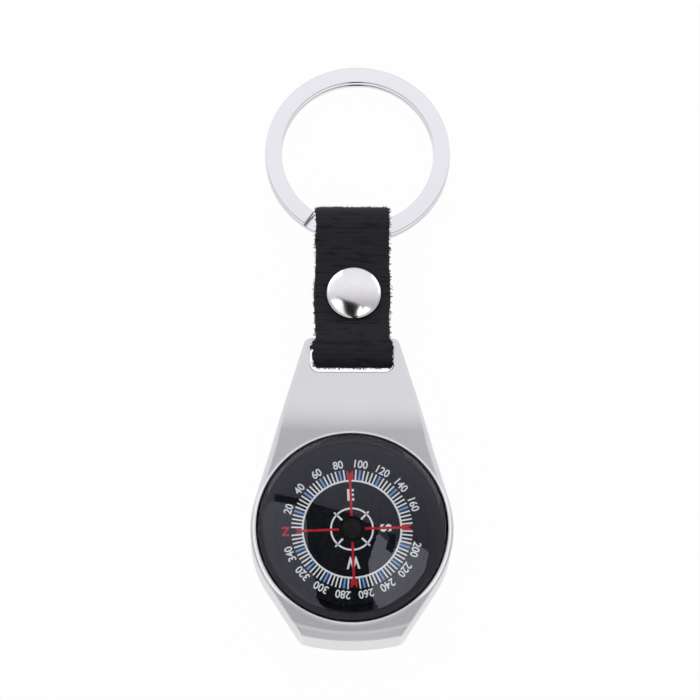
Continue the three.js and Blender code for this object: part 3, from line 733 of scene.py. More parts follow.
# %% How a tree starts, ends and grows
def start_tree(name, **inputs):
    """An empty tree of Geometry Nodes and its inputs' sockets, from the inputs' names by kind."""
    tree = bpy.data.node_groups.new(name, "GeometryNodeTree")
    for kind, labels in inputs.items():
        for label in labels:
            tree.interface.new_socket(label, in_out="INPUT", socket_type="NodeSocket" + kind)
    tree.interface.new_socket("Geometry", in_out="OUTPUT", socket_type="NodeSocketGeometry")
    return tree, add_node(tree, "NodeGroupInput").outputs


def end_tree(tree, geometry, material):
    """Makes a tree's instances real, dresses them and hands them out."""
    real = add_node(tree, "GeometryNodeRealizeInstances", links={"Geometry": geometry})
    dressed = add_node(tree, "GeometryNodeSetMaterial", values={"Material": material}, links={"Geometry": real})
    add_node(tree, "NodeGroupOutput", links={"Geometry": dressed})
    return tree


def grow(name, tree, inputs, material, place=HERE, start=None):
    """Runs a tree on an empty object, or on a starting mesh, and keeps the result as a plain mesh in its place."""
    holder = bpy.data.objects.new(name, start or bpy.data.meshes.new(name))
    scene.collection.objects.link(holder)
    modifier = holder.modifiers.new("rule", "NODES")
    modifier.node_group = tree
    for item in tree.interface.items_tree:
        if item.in_out == "INPUT" and item.name in inputs:
            modifier[item.identifier] = inputs[item.name]
    settle(holder)
    holder.data.transform(place)
    holder.data.materials.clear()
    holder.data.materials.append(material)
    return holder


print("trees can be grown")

# %% The tree that sets marks round a circle
MARKS, BLOCK_EVERY, INK = 90, 5, 0.03
EQUAL = {"data_type": "FLOAT", "operation": "EQUAL"}


def mark_tree(name, material, keep_blocks):
    """Bars on a circle: either every fifth bar, or all the others, but none under a red head."""
    tree, sizes = start_tree(name, Int=["Count"], Float=["Inner Radius", "Outer Radius", "Width", "Ink", "Height"])
    inner, outer = sizes["Inner Radius"], sizes["Outer Radius"]
    number = add_node(tree, "GeometryNodeInputIndex")
    share = add_node(tree, "ShaderNodeMath", DIVIDE, links={0: number, 1: sizes["Count"]})
    turn = add_node(tree, "ShaderNodeMath", MULTIPLY, {1: -math.tau}, {0: share})
    both = add_node(tree, "ShaderNodeMath", ADD, links={0: inner, 1: outer})
    middle = add_node(tree, "ShaderNodeMath", MULTIPLY, {1: 0.5}, {0: both})
    long = add_node(tree, "ShaderNodeMath", SUBTRACT, links={0: outer, 1: inner})
    out = add_node(tree, "ShaderNodeCombineXYZ", links={"Y": middle, "Z": sizes["Height"]})
    swung = add_node(tree, "ShaderNodeVectorRotate", {"rotation_type": "Z_AXIS"}, links={"Vector": out, "Angle": turn})
    spots = add_node(tree, "GeometryNodePoints", links={"Count": sizes["Count"], "Position": swung})
    in_five = add_node(tree, "ShaderNodeMath", MODULO, {1: BLOCK_EVERY}, {0: number})
    in_half = add_node(tree, "ShaderNodeMath", MODULO, {1: MARKS / 2}, {0: number})
    is_block = add_node(tree, "FunctionNodeCompare", EQUAL, {1: 0, "Epsilon": 0.1}, {0: in_five})
    head_at, reach, choice = (0, 0.1, "NIMPLY") if keep_blocks else (MARKS / 4, 0.6, "NOR")
    under_head = add_node(tree, "FunctionNodeCompare", EQUAL, {1: head_at, "Epsilon": reach}, {0: in_half})
    wanted = add_node(tree, "FunctionNodeBooleanMath", {"operation": choice}, links={0: is_block, 1: under_head})
    size = add_node(tree, "ShaderNodeCombineXYZ", links={"X": sizes["Width"], "Y": long, "Z": sizes["Ink"]})
    bar = add_node(tree, "GeometryNodeMeshCube", links={"Size": size})
    facing = add_node(tree, "ShaderNodeCombineXYZ", links={"Z": turn})
    bars = add_node(tree, "GeometryNodeInstanceOnPoints",
                    links={"Points": spots, "Selection": wanted, "Instance": bar, "Rotation": facing})
    return end_tree(tree, bars, material)


for name, rule, ink, keep_blocks, inner, outer, wide, lift in (
        ("dial_ticks", "tick_marks", white_ink, False, 7.73, 9.54, 0.24, 0),
        ("dial_blocks", "block_marks", blue_ink, True, 7.8, 9.54, 0.7, 0),
        ("dial_block_streaks", "streak_marks", pale_blue_ink, True, 7.8, 9.5, 0.22, INK * 0.6)):
    sizes = {"Count": MARKS, "Inner Radius": inner * MM, "Outer Radius": outer * MM, "Width": wide * MM,
             "Ink": INK * MM, "Height": (CARD_TOP + INK / 2 + lift) * MM}
    fit(grow(name, mark_tree(rule, ink, keep_blocks), sizes, ink, card_frame), "card")

# %% [markdown]
# ### Letters, numbers and lines
# Numbers stand every 20 degrees with their tops outwards, and so do the four letters. Each word is a text curve that
# becomes a mesh, is fitted to its printed size, and is then swung to its place, because every number is as tall as
# the next whatever its width.
# Circles are flat rings, and the red lines are bars with a head at the outer end.

# %% Words and shapes of the print
def word_shape(words, height, width, weight):
    """A word as a flat shape, its foot on y = 0 and its middle on x = 0, in mm. Weight thickens its strokes."""
    curve = bpy.data.curves.new("word", "FONT")
    curve.body, curve.offset, curve.resolution_u = words, weight, 6
    holder = bpy.data.objects.new("word", curve)
    scene.collection.objects.link(holder)
    mesh = bpy.data.meshes.new_from_object(holder.evaluated_get(bpy.context.evaluated_depsgraph_get()))
    bpy.data.objects.remove(holder)
    bm = bmesh.new()
    bm.from_mesh(mesh)
    xs, ys = [v.co.x for v in bm.verts], [v.co.y for v in bm.verts]
    scale_y = height / (max(ys) - min(ys))
    scale_x = width / (max(xs) - min(xs)) if width else scale_y * 0.92
    for v in bm.verts:
        v.co = Vector(((v.co.x - (max(xs) + min(xs)) / 2) * scale_x, (v.co.y - min(ys)) * scale_y, 0))
    return bm


def flat_ring(middle, wide, steps=120):
    """A flat ring round the card's middle."""
    bm = bmesh.new()
    inner, outer = [[bm.verts.new((x, y, 0)) for x, y in arc(radius, 0, math.tau, steps)[:-1]]
                    for radius in (middle - wide / 2, middle + wide / 2)]
    for k in range(steps):
        m = (k + 1) % steps
        bm.faces.new((inner[k], outer[k], outer[m], inner[m]))
    return bm


def lay_ink(layer, shape, compass_angle, foot=0):
    """Adds a flat shape to a print layer: as thick as ink, moved out by its foot and swung clockwise from north."""
    bmesh.ops.remove_doubles(shape, verts=shape.verts, dist=SAME_POINT)
    if sum(f.normal.z * f.calc_area() for f in shape.faces) < 0:
        bmesh.ops.reverse_faces(shape, faces=shape.faces)
    thicken(shape, INK)
    swing = Matrix.Rotation(-math.radians(compass_angle), 4, "Z")
    shape.transform(swing @ Matrix.Translation((0, foot, CARD_TOP)))
    mesh = bpy.data.meshes.new("ink")
    shape.to_mesh(mesh)
    shape.free()
    layer.from_mesh(mesh)
    bpy.data.meshes.remove(mesh)


print("print helpers ready")

# %% White print
NUMBER_TALL, NUMBER_WEIGHT, NUMBER_FOOT, LETTER_WEIGHT = 1.31, 0.02, 9.82, 0.035
CIRCLES = ((7.73, 0.3), (3.29, 0.28))
RAY = [(-0.16, 2.1), (0.16, 2.1), (0.13, 3.85), (-0.13, 3.85)]
white_layer, red_layer = bmesh.new(), bmesh.new()
for degrees in [d for d in range(20, 360, 20) if d != 180]:
    lay_ink(white_layer, word_shape(str(degrees), NUMBER_TALL, None, NUMBER_WEIGHT), degrees, NUMBER_FOOT)
for letter, degrees, foot, tall, wide in (("E", 90, 4.53, 1.87, 1.09), ("S", 180, 4.37, 1.87, 1.24),
                                          ("W", 270, 4.37, 1.96, 2.14)):
    lay_ink(white_layer, word_shape(letter, tall, wide, LETTER_WEIGHT), degrees, foot)
for middle, wide in CIRCLES:
    lay_ink(white_layer, flat_ring(middle, wide), 0)
for degrees in (45, 135, 225, 315):
    lay_ink(white_layer, flat_shape(RAY), degrees)
print("white print", len(white_layer.faces), "faces")

# %% Red letter, lines and heads
LINE_HALF, LINE_FOOT = 0.2, 2.05
lay_ink(red_layer, word_shape("N", 1.16, 1.47, 0.03), 0, 9.83)
for degrees, half, low, high in ((0, 0.38, 7.88, 8.9), (90, 0.56, 7.73, 9.4), (180, 0.5, 7.73, 9.4),
                                 (270, 0.54, 7.73, 9.32)):
    line = [(-LINE_HALF, LINE_FOOT), (LINE_HALF, LINE_FOOT), (LINE_HALF, low), (-LINE_HALF, low)]
    lay_ink(red_layer, flat_shape(line), degrees)
    head = [(0.22, low), (half * 0.82, low + 0.3), (half, low + 0.65), (half * 0.96, high),
            (half * 0.5, high - 0.15), (0.06, high - 0.5)]
    lay_ink(red_layer, flat_shape(head + [(-x, y) for x, y in head[::-1]]), degrees)
red_layer.transform(Matrix.Translation((0, 0, INK * 0.6)))
for name, layer, ink in (("dial_white_print", white_layer, white_ink), ("dial_red_print", red_layer, red_ink)):
    fit(new_object(name, mesh_of(layer, name, card_frame), [ink]), "card")

# %% [markdown]
# ## Strap
# The strap is one strip of webbing, folded in three: round the housing's bar, up to the split ring and back, its two
# ends lapped under the rivet. At rest it slopes down to the table, and it swings about the bar.
# Woven strap this stiff keeps the round of its folds, so it is modelled directly along its middle line rather than
# by a cloth simulation. Ribs raise its faces, and the cross threads scallop its edges.

# %% Strap's middle line
BAR_Y, BAR_Z, STRAP_SLOPE = 31.25, 5.2, 4.1207
LOWER_EYE, FOLD_SLACK = 2.259, 0.75
UPPER_EYE, EYE_AT = 2.66, 19.65
FLAT_LOW, FLAT_HIGH, LAYER, END_LAP, FOLD_ROUND = 3.5, 12.3, 1.15, 0.4, 1.2
STRAP_WIDTH, STRAP_THICK, STRAP_SHIFT = 11.8, 1.0, 0.1
STEP = RIB_PITCH / 6
strap_frame = Matrix.Translation((0, BAR_Y, BAR_Z)) @ Matrix.Rotation(-math.radians(STRAP_SLOPE), 4, "X")


def tangent(centre, radius, along, out):
    """Direction from an eye's middle to a point, and the swing from there to where the strap leaves the eye."""
    return math.atan2(out, along - centre), math.acos(radius / math.hypot(along - centre, out))


low_r, high_r = LOWER_EYE + STRAP_THICK / 2, UPPER_EYE + STRAP_THICK / 2
to_back, back_swing = tangent(-FOLD_SLACK, low_r, FLAT_LOW, 0)
to_front, front_swing = tangent(-FOLD_SLACK, low_r, FLAT_LOW, LAYER)
to_eye, eye_swing = tangent(EYE_AT, high_r, FLAT_HIGH, LAYER)
lower_eye = arc(low_r, to_back - back_swing, to_front + front_swing - math.tau, 40, (-FOLD_SLACK, 0))
upper_eye = arc(high_r, to_eye - eye_swing, eye_swing - to_eye, 48, (EYE_AT, 0))
corners = [(FLAT_HIGH + END_LAP, 0), (FLAT_LOW, 0), *lower_eye, (FLAT_LOW, LAYER),
           (FLAT_HIGH, LAYER), *upper_eye, (FLAT_HIGH, -LAYER), (FLAT_LOW + END_LAP, -LAYER)]
rough_line = soften(corners, FOLD_ROUND, 6)
lengths = [0]
for a, b in zip(rough_line, rough_line[1:]):
    lengths.append(lengths[-1] + math.dist(a, b))
strap_length = lengths[-1]
stations, j = [], 0
for i in range(round(strap_length / STEP) + 1):
    along = min(i * STEP, strap_length)
    while lengths[j + 1] < along and j < len(lengths) - 2:
        j += 1
    t = (along - lengths[j]) / max(1e-9, lengths[j + 1] - lengths[j])
    stations.append(Vector(rough_line[j]).lerp(Vector(rough_line[j + 1]), t))
print("strap cut", STRAP_WIDTH, "x", round(strap_length, 1), "mm,", len(stations), "rows")

# %% [markdown]
# Each row across the strap is a closed section: 28 points over each face and a rounded edge. The rib wave thins the
# strap between its cross threads, each thread's turn makes a small bump on the edge, and where the webbing is
# squeezed under the rivet or bent hard in the slot it spreads wider.

# %% Sections of the strap
RIVET_AT, SQUEEZE, SQUEEZE_REACH = 7.9, 0.22, 3.2
FLARE_AT, FLARE_RUN, LEFT_FLARE, RIGHT_FLARE = -0.2, 0.4, 0.62, 0.6
TUCK_AT, TUCK = -1.6, 0.35
RIB_DEPTH, FOLD_THIN, EDGE_IN, EDGE_BEAD, EDGE_WANDER = 0.03, 0.11, 0.04, 0.13, 0.12
ACROSS, EDGE_START = 28, 0.955


def rib_wave_at(along, power):
    """The rib wave: 0 between two cross threads and 1 on each."""
    return abs(math.sin(math.pi * along / RIB_PITCH)) ** power


def edge_bump(along, side):
    """How far an edge stands out: one bump for each cross thread, uneven from one to the next."""
    uneven = noise.noise(Vector((along * 0.9, side * 9.3, 0.5)))
    wander = noise.noise(Vector((along * 0.45, side * 4.7, 3.5)))
    return EDGE_BEAD * rib_wave_at(along, 0.7) * (1 + uneven) + EDGE_WANDER * wander


def half_widths(point, along):
    """The strap's width to the left and to the right of its middle."""
    squeeze = math.exp(-((point.x - RIVET_AT) / SQUEEZE_REACH) ** 2) if abs(point.y) < LAYER + 0.3 else 0
    flare = clamped((FLARE_AT - point.x) / FLARE_RUN)
    spread = {-1: LEFT_FLARE - TUCK * clamped(TUCK_AT - point.x), 1: RIGHT_FLARE}
    return {side: STRAP_WIDTH / 2 - EDGE_IN + SQUEEZE * squeeze + spread[side] * flare
            + edge_bump(along, side) * (1 - 0.6 * flare) for side in (-1, 1)}


def section_at(point, along, half):
    """Points (across, out) over the strap's front and then over its back."""
    thick = STRAP_THICK / 2 - RIB_DEPTH * (1 - rib_wave_at(along, 0.6)) - FOLD_THIN * clamped(point.x - EYE_AT)
    made = []
    for face in (1, -1):
        for u in [(k / (ACROSS - 1) * 2 - 1) * face for k in range(ACROSS)]:
            edge = max(0, abs(u) - EDGE_START) / (1 - EDGE_START)
            made.append((u * half[1 if u > 0 else -1], face * thick * math.sqrt(max(0.0, 1 - edge ** 2 * 0.8))))
    return made


print("half widths at the rivet", [round(w, 2) for w in half_widths(Vector((RIVET_AT, 0)), 0).values()], "mm")

# %% Strap mesh
bm = bmesh.new()
cloth_layer = bm.loops.layers.uv.new("cloth")
rows, places, edge_lines, fold_lines = [], [], {-1: [], 1: []}, []
for i, point in enumerate(stations):
    heading = (stations[min(len(stations) - 1, i + 1)] - stations[max(0, i - 1)]).normalized()
    normal = Vector((-heading.y, heading.x))
    along = i * STEP
    half = half_widths(point, along)
    section = section_at(point, along, half)
    rows.append([bm.verts.new((STRAP_SHIFT + across, point.x + normal.x * out, point.y + normal.y * out))
                 for across, out in section])
    places.append([(across * MM, along * MM) for across, out in section])
    for side in (-1, 1):
        edge_lines[side].append(strap_frame @ Vector((STRAP_SHIFT + side * half[side], point.x, point.y)))
    fold_lines.append([strap_frame @ v.co for v in rows[-1][:ACROSS]])
sides = len(rows[0])
for i in range(len(rows) - 1):
    for k in range(sides):
        m = (k + 1) % sides
        spots = ((i, k), (i, m), (i + 1, m), (i + 1, k))
        face = bm.faces.new([rows[r][c] for r, c in spots])
        for loop, (r, c) in zip(face.loops, spots):
            loop[cloth_layer].uv = places[r][c]
for end in (rows[0], rows[-1]):
    bm.faces.new(end)
bmesh.ops.recalc_face_normals(bm, faces=bm.faces)
strap = new_object("strap_webbing", mesh_of(bm, "strap_webbing", strap_frame), [webbing])
fit(strap, "strap", ["strap"], crease=60)

# %% [markdown]
# ### Loose fibres
# Cut and rubbed webbing frays: short pale fibres stand out along its edges. They could be particles, which the
# export would drop. Geometry Nodes scatter them along the two edges and the two folds instead, each a thin bent hair
# with its own turn and length from a fixed seed, and the result is a plain mesh.

# %% The tree that scatters fibres
VECTORS = {"data_type": "FLOAT_VECTOR"}


def fibre_tree(name, material):
    """Thin bent hairs along the lines of a starting mesh."""
    tree, sizes = start_tree(name, Geometry=["Lines"], Int=["Count", "Seed"],
                             Float=["Shortest", "Longest", "Hair Radius", "Spread"])
    lines = add_node(tree, "GeometryNodeMeshToCurve", links={"Mesh": sizes["Lines"]})
    spots = add_node(tree, "GeometryNodeCurveToPoints", {"mode": "COUNT"},
                     links={"Curve": lines, "Count": sizes["Count"]})
    away = add_node(tree, "FunctionNodeRandomValue", VECTORS, {0: (-1,) * 3, 1: (1,) * 3}, {"Seed": sizes["Seed"]})
    shift = add_node(tree, "ShaderNodeVectorMath", {"operation": "SCALE"}, links={0: away, "Scale": sizes["Spread"]})
    loose = add_node(tree, "GeometryNodeSetPosition", links={"Geometry": spots, "Offset": shift})
    bent = add_node(tree, "GeometryNodeCurveQuadraticBezier", values={
        "Resolution": 4, "Start": (0, 0, 0), "Middle": (0.1, 0.6, 0), "End": (0.45, 0.9, 0.1)})
    round_section = add_node(tree, "GeometryNodeCurvePrimitiveCircle", values={"Resolution": 3},
                             links={"Radius": sizes["Hair Radius"]})
    hair = add_node(tree, "GeometryNodeCurveToMesh", values={"Fill Caps": True},
                    links={"Curve": bent, "Profile Curve": round_section})
    turns = add_node(tree, "FunctionNodeRandomValue", VECTORS, {0: (0, 0, 0), 1: (math.tau,) * 3},
                     {"Seed": sizes["Seed"]})
    long = add_node(tree, "FunctionNodeRandomValue", {"data_type": "FLOAT"},
                    links={2: sizes["Shortest"], 3: sizes["Longest"], "Seed": sizes["Seed"]})
    hairs = add_node(tree, "GeometryNodeInstanceOnPoints",
                     links={"Points": loose, "Instance": hair, "Rotation": turns, "Scale": long.outputs[1]})
    return end_tree(tree, hairs, material)


low_fold, high_fold = (pick(range(len(stations)), key=lambda i: stations[i].x) for pick in (min, max))
lines = [edge_lines[-1], edge_lines[1], fold_lines[low_fold], fold_lines[high_fold]]
starts = [sum(len(line) for line in lines[:k]) for k in range(len(lines))]
links = [(first + i, first + i + 1) for first, line in zip(starts, lines) for i in range(len(line) - 1)]
edge_mesh = bpy.data.meshes.new("strap_edges")
edge_mesh.from_pydata([p * MM for line in lines for p in line], links, [])
# The paler fibres are painted glints.
sizes = {"Count": 300, "Shortest": 0.2 * MM, "Longest": 0.42 * MM, "Hair Radius": 0.2, "Spread": 0.15 * MM, "Seed": 7}
fibres = grow("strap_fibres", fibre_tree("edge_fibres", loose_fibre_painted_glint), sizes, loose_fibre_painted_glint, start=edge_mesh)
fit(fibres, "strap")

# %% [markdown]
# ## Rivet
# The rivet is two stamped pieces: a domed cap on the front and a flatter one behind, whose post goes through the
# three layers. Both are turned outlines with rolled rims.

# %% Rivet
RIVET, STACK, RIVET_X, RIVET_STEPS = 4.4, 1.85, 0.32, 96
CAP_FLAT, CAP_RISE, POST = 4.15, 0.66, 1.45
rivet_frame = strap_frame @ Matrix.Translation((RIVET_X, RIVET_AT, 0))
cap_rim = [(CAP_FLAT, STACK + CAP_RISE), (RIVET, STACK + 0.5), (RIVET, STACK), (RIVET - 0.5, STACK),
           (RIVET - 0.6, STACK + 0.2), (2.4, STACK + 0.65), (0, STACK + 0.8)]
cap_line = dome_line(CAP_FLAT, STACK + CAP_RISE, 0.5, 24, 2.2) + soften(cap_rim, 0.2, 5)[1:]
post_rim = [(RIVET * 0.985, -STACK - 0.42), (RIVET, -STACK - 0.3), (RIVET, -STACK), (POST, -STACK),
            (POST, STACK + 0.2), (POST - 0.4, STACK + 0.6), (0, STACK + 0.6)]
post_line = dome_line(RIVET, -STACK - 0.4, -0.7, 20, 2.2)[:-1] + soften(post_rim, 0.15, 3)
rivet_cap = turned_piece("rivet_cap_stamping", cap_line, [bright_nickel], "strap", "rivet_cap",
                         rivet_frame, RIVET_STEPS)
turned_piece("rivet_post_turning", post_line, [bright_nickel], "strap", "rivet_post",
             rivet_frame, RIVET_STEPS)

# %% [markdown]
# ## Split ring
# The ring is one flat wire wound nearly twice round, stepping from the lower turn to the upper inside the strap's
# fold. Its path follows a rule of angle and height, so Geometry Nodes draw it: a line bent into the two turns, and a
# rounded flat section swept along it.

# %% The tree that winds the split ring
def winding_tree(name, material):
    """A flat wire wound from one level to the next, with a smooth step between them."""
    tree, sizes = start_tree(name, Float=[
        "Mean Radius", "Wire Width", "Wire Thickness", "Wire Edge", "Level Step", "Start Angle", "Turn Before Step",
        "Step Angle", "Turn After Step"])
    line = add_node(tree, "GeometryNodeCurvePrimitiveLine", values={"End": (0, 0, 1)})
    fine = add_node(tree, "GeometryNodeResampleCurve", values={"Count": 420}, links={"Curve": line})
    share = add_node(tree, "GeometryNodeSplineParameter").outputs["Factor"]
    step_end = add_node(tree, "ShaderNodeMath", ADD, links={0: sizes["Turn Before Step"], 1: sizes["Step Angle"]})
    whole = add_node(tree, "ShaderNodeMath", ADD, links={0: step_end, 1: sizes["Turn After Step"]})
    travel = add_node(tree, "ShaderNodeMath", MULTIPLY, links={0: share, 1: whole})
    angle = add_node(tree, "ShaderNodeMath", ADD, links={0: travel, 1: sizes["Start Angle"]})
    low, high = [add_node(tree, "ShaderNodeMath", MULTIPLY, {1: part}, {0: sizes["Level Step"]})
                 for part in (-0.5, 0.5)]
    level = add_node(tree, "ShaderNodeMapRange", SOFT_ENDS, links={
        "Value": travel, "From Min": sizes["Turn Before Step"], "From Max": step_end, "To Min": low, "To Max": high})
    out = add_node(tree, "ShaderNodeCombineXYZ", links={"X": sizes["Mean Radius"], "Z": level})
    wound = add_node(tree, "ShaderNodeVectorRotate", {"rotation_type": "Z_AXIS"}, links={"Vector": out, "Angle": angle})
    path = add_node(tree, "GeometryNodeSetPosition", links={"Geometry": fine, "Position": wound})
    level_path = add_node(tree, "GeometryNodeSetCurveNormal", {"mode": "Z_UP"}, links={"Curve": path})
    section = add_node(tree, "GeometryNodeCurvePrimitiveQuadrilateral", {"mode": "RECTANGLE"},
                       links={"Width": sizes["Wire Width"], "Height": sizes["Wire Thickness"]})
    rounded = add_node(tree, "GeometryNodeFilletCurve", {"mode": "POLY"}, {"Count": 4},
                       {"Curve": section, "Radius": sizes["Wire Edge"]})
    wire = add_node(tree, "GeometryNodeCurveToMesh", values={"Fill Caps": True},
                    links={"Curve": level_path, "Profile Curve": rounded})
    return end_tree(tree, wire, material)


HINGE_Y, HINGE_Z, RING_SLOPE, RING_DROP, RING_SHIFT = 50.849, 3.788, 5.37, 12.82, 1.0
RING, WIRE_WIDE, WIRE_THICK, WIRE_EDGE, COIL_GAP = 15.18, 2.75, 0.9, 0.22, 0.45
WIRE_END, TURN, STEP_TURN = math.radians(274.6), math.radians(320), math.radians(40)
hinge, ring_at = Vector((0, HINGE_Y, HINGE_Z)) * MM, Vector((RING_SHIFT, RING_DROP, 0)) * MM
slope = Matrix.Rotation(-math.radians(RING_SLOPE), 4, "X")
sizes = {"Mean Radius": (RING - WIRE_WIDE / 2) * MM, "Wire Width": WIRE_WIDE * MM, "Wire Thickness": WIRE_THICK * MM,
         "Wire Edge": WIRE_EDGE * MM, "Level Step": (WIRE_THICK + COIL_GAP) * MM, "Start Angle": WIRE_END,
         "Turn Before Step": TURN, "Step Angle": STEP_TURN, "Turn After Step": TURN}
ring = grow("split_ring_wire", winding_tree("split_ring_winding", ring_steel), sizes, ring_steel,
            Matrix.Translation(hinge) @ slope @ Matrix.Translation(ring_at))
ring.data.shade_smooth()
carry(flatten_plates(ring), "ring", ["split_ring"])

# %% [markdown]
# ## Table and light
# The object lies on a white table in a white tent, under soft light from all round. Metal and glass look like what
# they mirror, so the tent's levels matter: it grows brighter beyond the ring, which lights the tab, and dimmer
# towards the table, so that bright metal still stands out from the white when it is seen from low down.
# The table is white in reflections. To the camera it is nearly clear, so that the strap and the ring still show when
# a joint takes them below it, and the matt share that is left takes the object's soft shadow.

# %% Floor
CLEAR_SHARE, TABLE_HALF, TABLE_LOW = 0.975, 2500, -0.03
floor_white, tree = start_finish("white_table")
rays = add_node(tree, "ShaderNodeLightPath").outputs
mirrored = add_node(tree, "ShaderNodeMath", MAXIMUM, links={0: rays["Is Glossy Ray"], 1: rays["Is Transmission Ray"]})
matt = add_node(tree, "ShaderNodeBsdfDiffuse", values={"Color": linear("#f8f8f8")})
white = add_node(tree, "ShaderNodeEmission", values={"Strength": 1.0})
table_shader = add_node(tree, "ShaderNodeMixShader", links={0: mirrored, 1: matt, 2: white})
share = add_node(tree, "ShaderNodeMath", MULTIPLY, {1: CLEAR_SHARE}, {0: rays["Is Camera Ray"]})
clear = add_node(tree, "ShaderNodeBsdfTransparent")
seen = add_node(tree, "ShaderNodeMixShader", links={0: share, 1: table_shader, 2: clear})
add_node(tree, "ShaderNodeOutputMaterial", links={"Surface": seen})


def staged(name, outline, material):
    """A flat shape round the object that isn't part of it, from its corners in mm."""
    mesh = bpy.data.meshes.new(name)
    mesh.from_pydata([Vector(corner) * MM for corner in outline], [], [range(len(outline))])
    made = new_object(name, mesh, [material])
    return made


table_corners = [(x * TABLE_HALF, y * TABLE_HALF, TABLE_LOW) for x, y in ((-1, -1), (1, -1), (1, 1), (-1, 1))]
staged("table", table_corners, floor_white)
print("table made")

# %% [markdown]
# The tent is the world's background. Its brightness is a sum of soft steps along the way that a ray looks: towards
# the ring, towards the compass end and to both sides, all dimmed near the table. The camera itself sees plain white.

# %% Surround
world = bpy.data.worlds.new("white_tent")
scene.world = world
world.use_nodes = True
tree = world.node_tree
tree.nodes.clear()
rays = add_node(tree, "ShaderNodeLightPath").outputs
look = add_node(tree, "ShaderNodeTexCoord").outputs["Generated"]
heading = add_node(tree, "ShaderNodeSeparateXYZ", links={"Vector": look}).outputs
aside = add_node(tree, "ShaderNodeMath", ABSOLUTE, links={0: heading["X"]})
north, south, walls, height = [
    add_node(tree, "ShaderNodeMapRange", SOFT_ENDS, dict(zip(RANGE, levels)), {"Value": way})
    for way, levels in ((heading["Y"], (0.02, 0.52, 0.48, 1.06)), (heading["Y"], (-0.1, -0.8, 0.0, 0.36)),
                        (aside, (0.3, 0.9, 0.0, 0.2)), (heading["Z"], (0.3, 0.78, 0.74, 1.0)))]
along = add_node(tree, "ShaderNodeMath", ADD, links={0: north, 1: south})
both = add_node(tree, "ShaderNodeMath", ADD, links={0: along, 1: walls})
hue = add_node(tree, "ShaderNodeMix", OF_COLOURS, {6: linear("#fff8fd"), 7: linear("#fbfbff")}, {0: north})
glow = add_node(tree, "ShaderNodeMath", MULTIPLY, links={0: both, 1: height})
room = add_node(tree, "ShaderNodeBackground", links={"Color": hue.outputs[2], "Strength": glow})
paper = add_node(tree, "ShaderNodeBackground", values={"Color": linear("#ffffff"), "Strength": 1.0})
mix = add_node(tree, "ShaderNodeMixShader", links={0: rays["Is Camera Ray"], 1: room, 2: paper})
add_node(tree, "ShaderNodeOutputWorld", links={"Surface": mix})
print("surround made")

# %% [markdown]
# One soft lamp beyond the ring gives the light a direction. It could be a sun, but a wide lamp keeps the shadows soft.
# Mirrors don't see it, because the tent already gives them their bright side.

# %% Lamp
lamp_at, lamp_aim = Vector((0.05, 0.55, 0.6)), Vector((0, 0.02, 0))
lamp = bpy.data.lights.new("soft_lamp_beyond_the_ring", "AREA")
lamp.shape, lamp.size, lamp.size_y, lamp.energy = "RECTANGLE", 0.7, 0.4, 0.55
key = bpy.data.objects.new("soft_lamp_beyond_the_ring", lamp)
key.location = lamp_at
key.rotation_mode = "QUATERNION"
key.rotation_quaternion = (lamp_aim - lamp_at).to_track_quat("-Z", "Y")
scene.collection.objects.link(key)
key.visible_glossy = False
print("lamp at", [round(c, 2) for c in key.location])

# %% [markdown]
# The sheets over the table are what the lens, the rivet and the ring mirror. Their shapes are worked out backwards: a
# ray from the camera to a point on the lens, mirrored there, meets a plane 0.72 m up at the point that the eye sees
# in the lens. They show in reflections only, so they cast no shadow on the table.
# Light linking says which pieces a sheet lights. The bright sheets light the lens and the rivet alone and are clear
# to the rest, so that no patch of light washes out the housing. The dark stand is black to the lens, the rivet and
# the ring and plain grey to the rest, and its leg is black to the rivet and the ring alone.

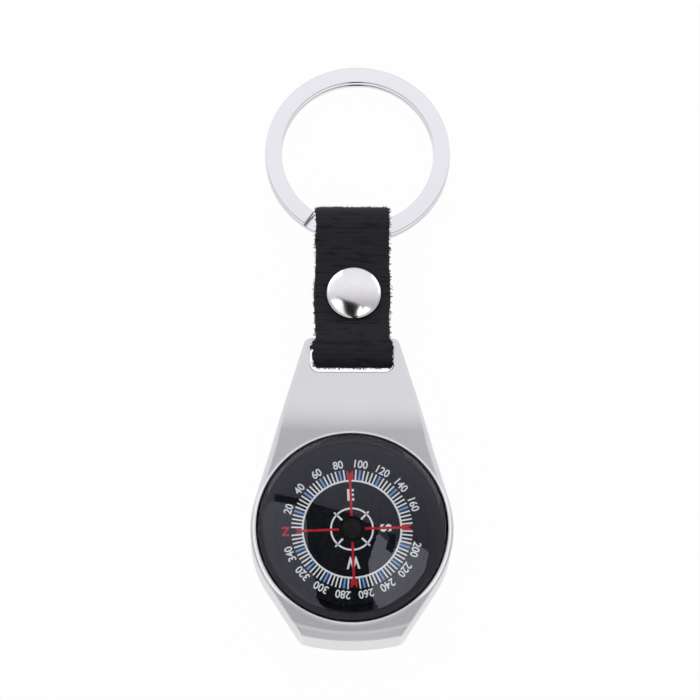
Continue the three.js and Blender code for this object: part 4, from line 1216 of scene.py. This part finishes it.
# %% Shapes of the stand, the box and the walls
STAND_UP, WALL_LOW, WALL_HIGH = 720, 60, 560
overhead = {
    "dark_stand": (0, "grey_paper", 0.36, [
        (-254, 264), (-160, 233), (-74, 200), (-26, 185), (9, 178), (54, 148), (99, 133), (85, 89), (60, 9), (76, -95),
        (80, -160), (-60, -160), (-68, -139), (-92, -117), (-105, -97), (-106, -66), (-116, -15), (-126, 24),
        (-138, 158), (-159, 208), (-249, 234)]),
    "dark_post": (0, "grey_post_paper", 0.36, [(126, 114), (152, 110), (150, 70), (137, 46), (117, 62), (129, 90)]),
    "bright_box": (2, "bright_paper", 1.95, [
        (92, 113), (137, 75), (177, 100), (264, 59), (250, -7), (196, -73), (99, -138), (76, -95), (60, 9)]),
    "pale_side": (2, "pale_paper", 0.78, [
        (-400, 200), (-249, 234), (-159, 208), (-138, 158), (-130, 27), (-95, -69), (-60, -139), (-157, -160),
        (-300, -60)])}
sheets = {name: (paper, glow, [(x, y, STAND_UP + lift) for x, y in outline])
          for name, (lift, paper, glow, outline) in overhead.items()}
for name, first, last in (("left_wall", (-491, 344), (-155, 580)), ("right_wall", (530, 282), (282, 530))):
    corners = [(*first, WALL_LOW), (*last, WALL_LOW), (*last, WALL_HIGH), (*first, WALL_HIGH)]
    sheets[name] = (name + "_paper", 1.3, corners)
sheets["dark_leg"] = ("grey_leg_paper", 0.7, [(-60, -162, STAND_UP), (90, -162, STAND_UP), (70, -380, 40),
                                              (-20, -380, 40)])
print("sheets", sorted(sheets))

# %% Hang the sheets
def lit_paper(name, strength, clear):
    """Paper that glows, and hides what is behind it unless it is clear."""
    material, tree = start_finish(name)
    glow = add_node(tree, "ShaderNodeEmission", values={"Strength": strength})
    if clear:
        through = add_node(tree, "ShaderNodeBsdfTransparent")
        glow = add_node(tree, "ShaderNodeAddShader", links={0: glow, 1: through})
    add_node(tree, "ShaderNodeOutputMaterial", links={"Surface": glow})
    return material


def seen_by(name, pieces, state):
    """A collection of pieces that a sheet lights, or, with EXCLUDE, doesn't light."""
    group = bpy.data.collections.new(name)
    for piece in pieces:
        group.objects.link(piece)
    for member in group.collection_objects:
        member.light_linking.link_state = state
    return group


mirrors = seen_by("lens_and_rivet", (lens, rivet_cap), "INCLUDE")
dull_to_stand = seen_by("all_but_lens_rivet_and_ring", (lens, rivet_cap, ring), "EXCLUDE")
dull_to_leg = seen_by("all_but_rivet_and_ring", (rivet_cap, ring), "EXCLUDE")
for name, (paper, glow, corners) in sheets.items():
    dark = name.startswith("dark")
    sheet = staged(name, corners, lit_paper(paper, glow, not dark))
    sheet.visible_camera = sheet.visible_diffuse = sheet.visible_shadow = False
    lit = dull_to_leg if name == "dark_leg" else dull_to_stand if dark else mirrors
    sheet.light_linking.receiver_collection = lit
print("hung", len(sheets), "sheets, most of them at", STAND_UP, "mm")
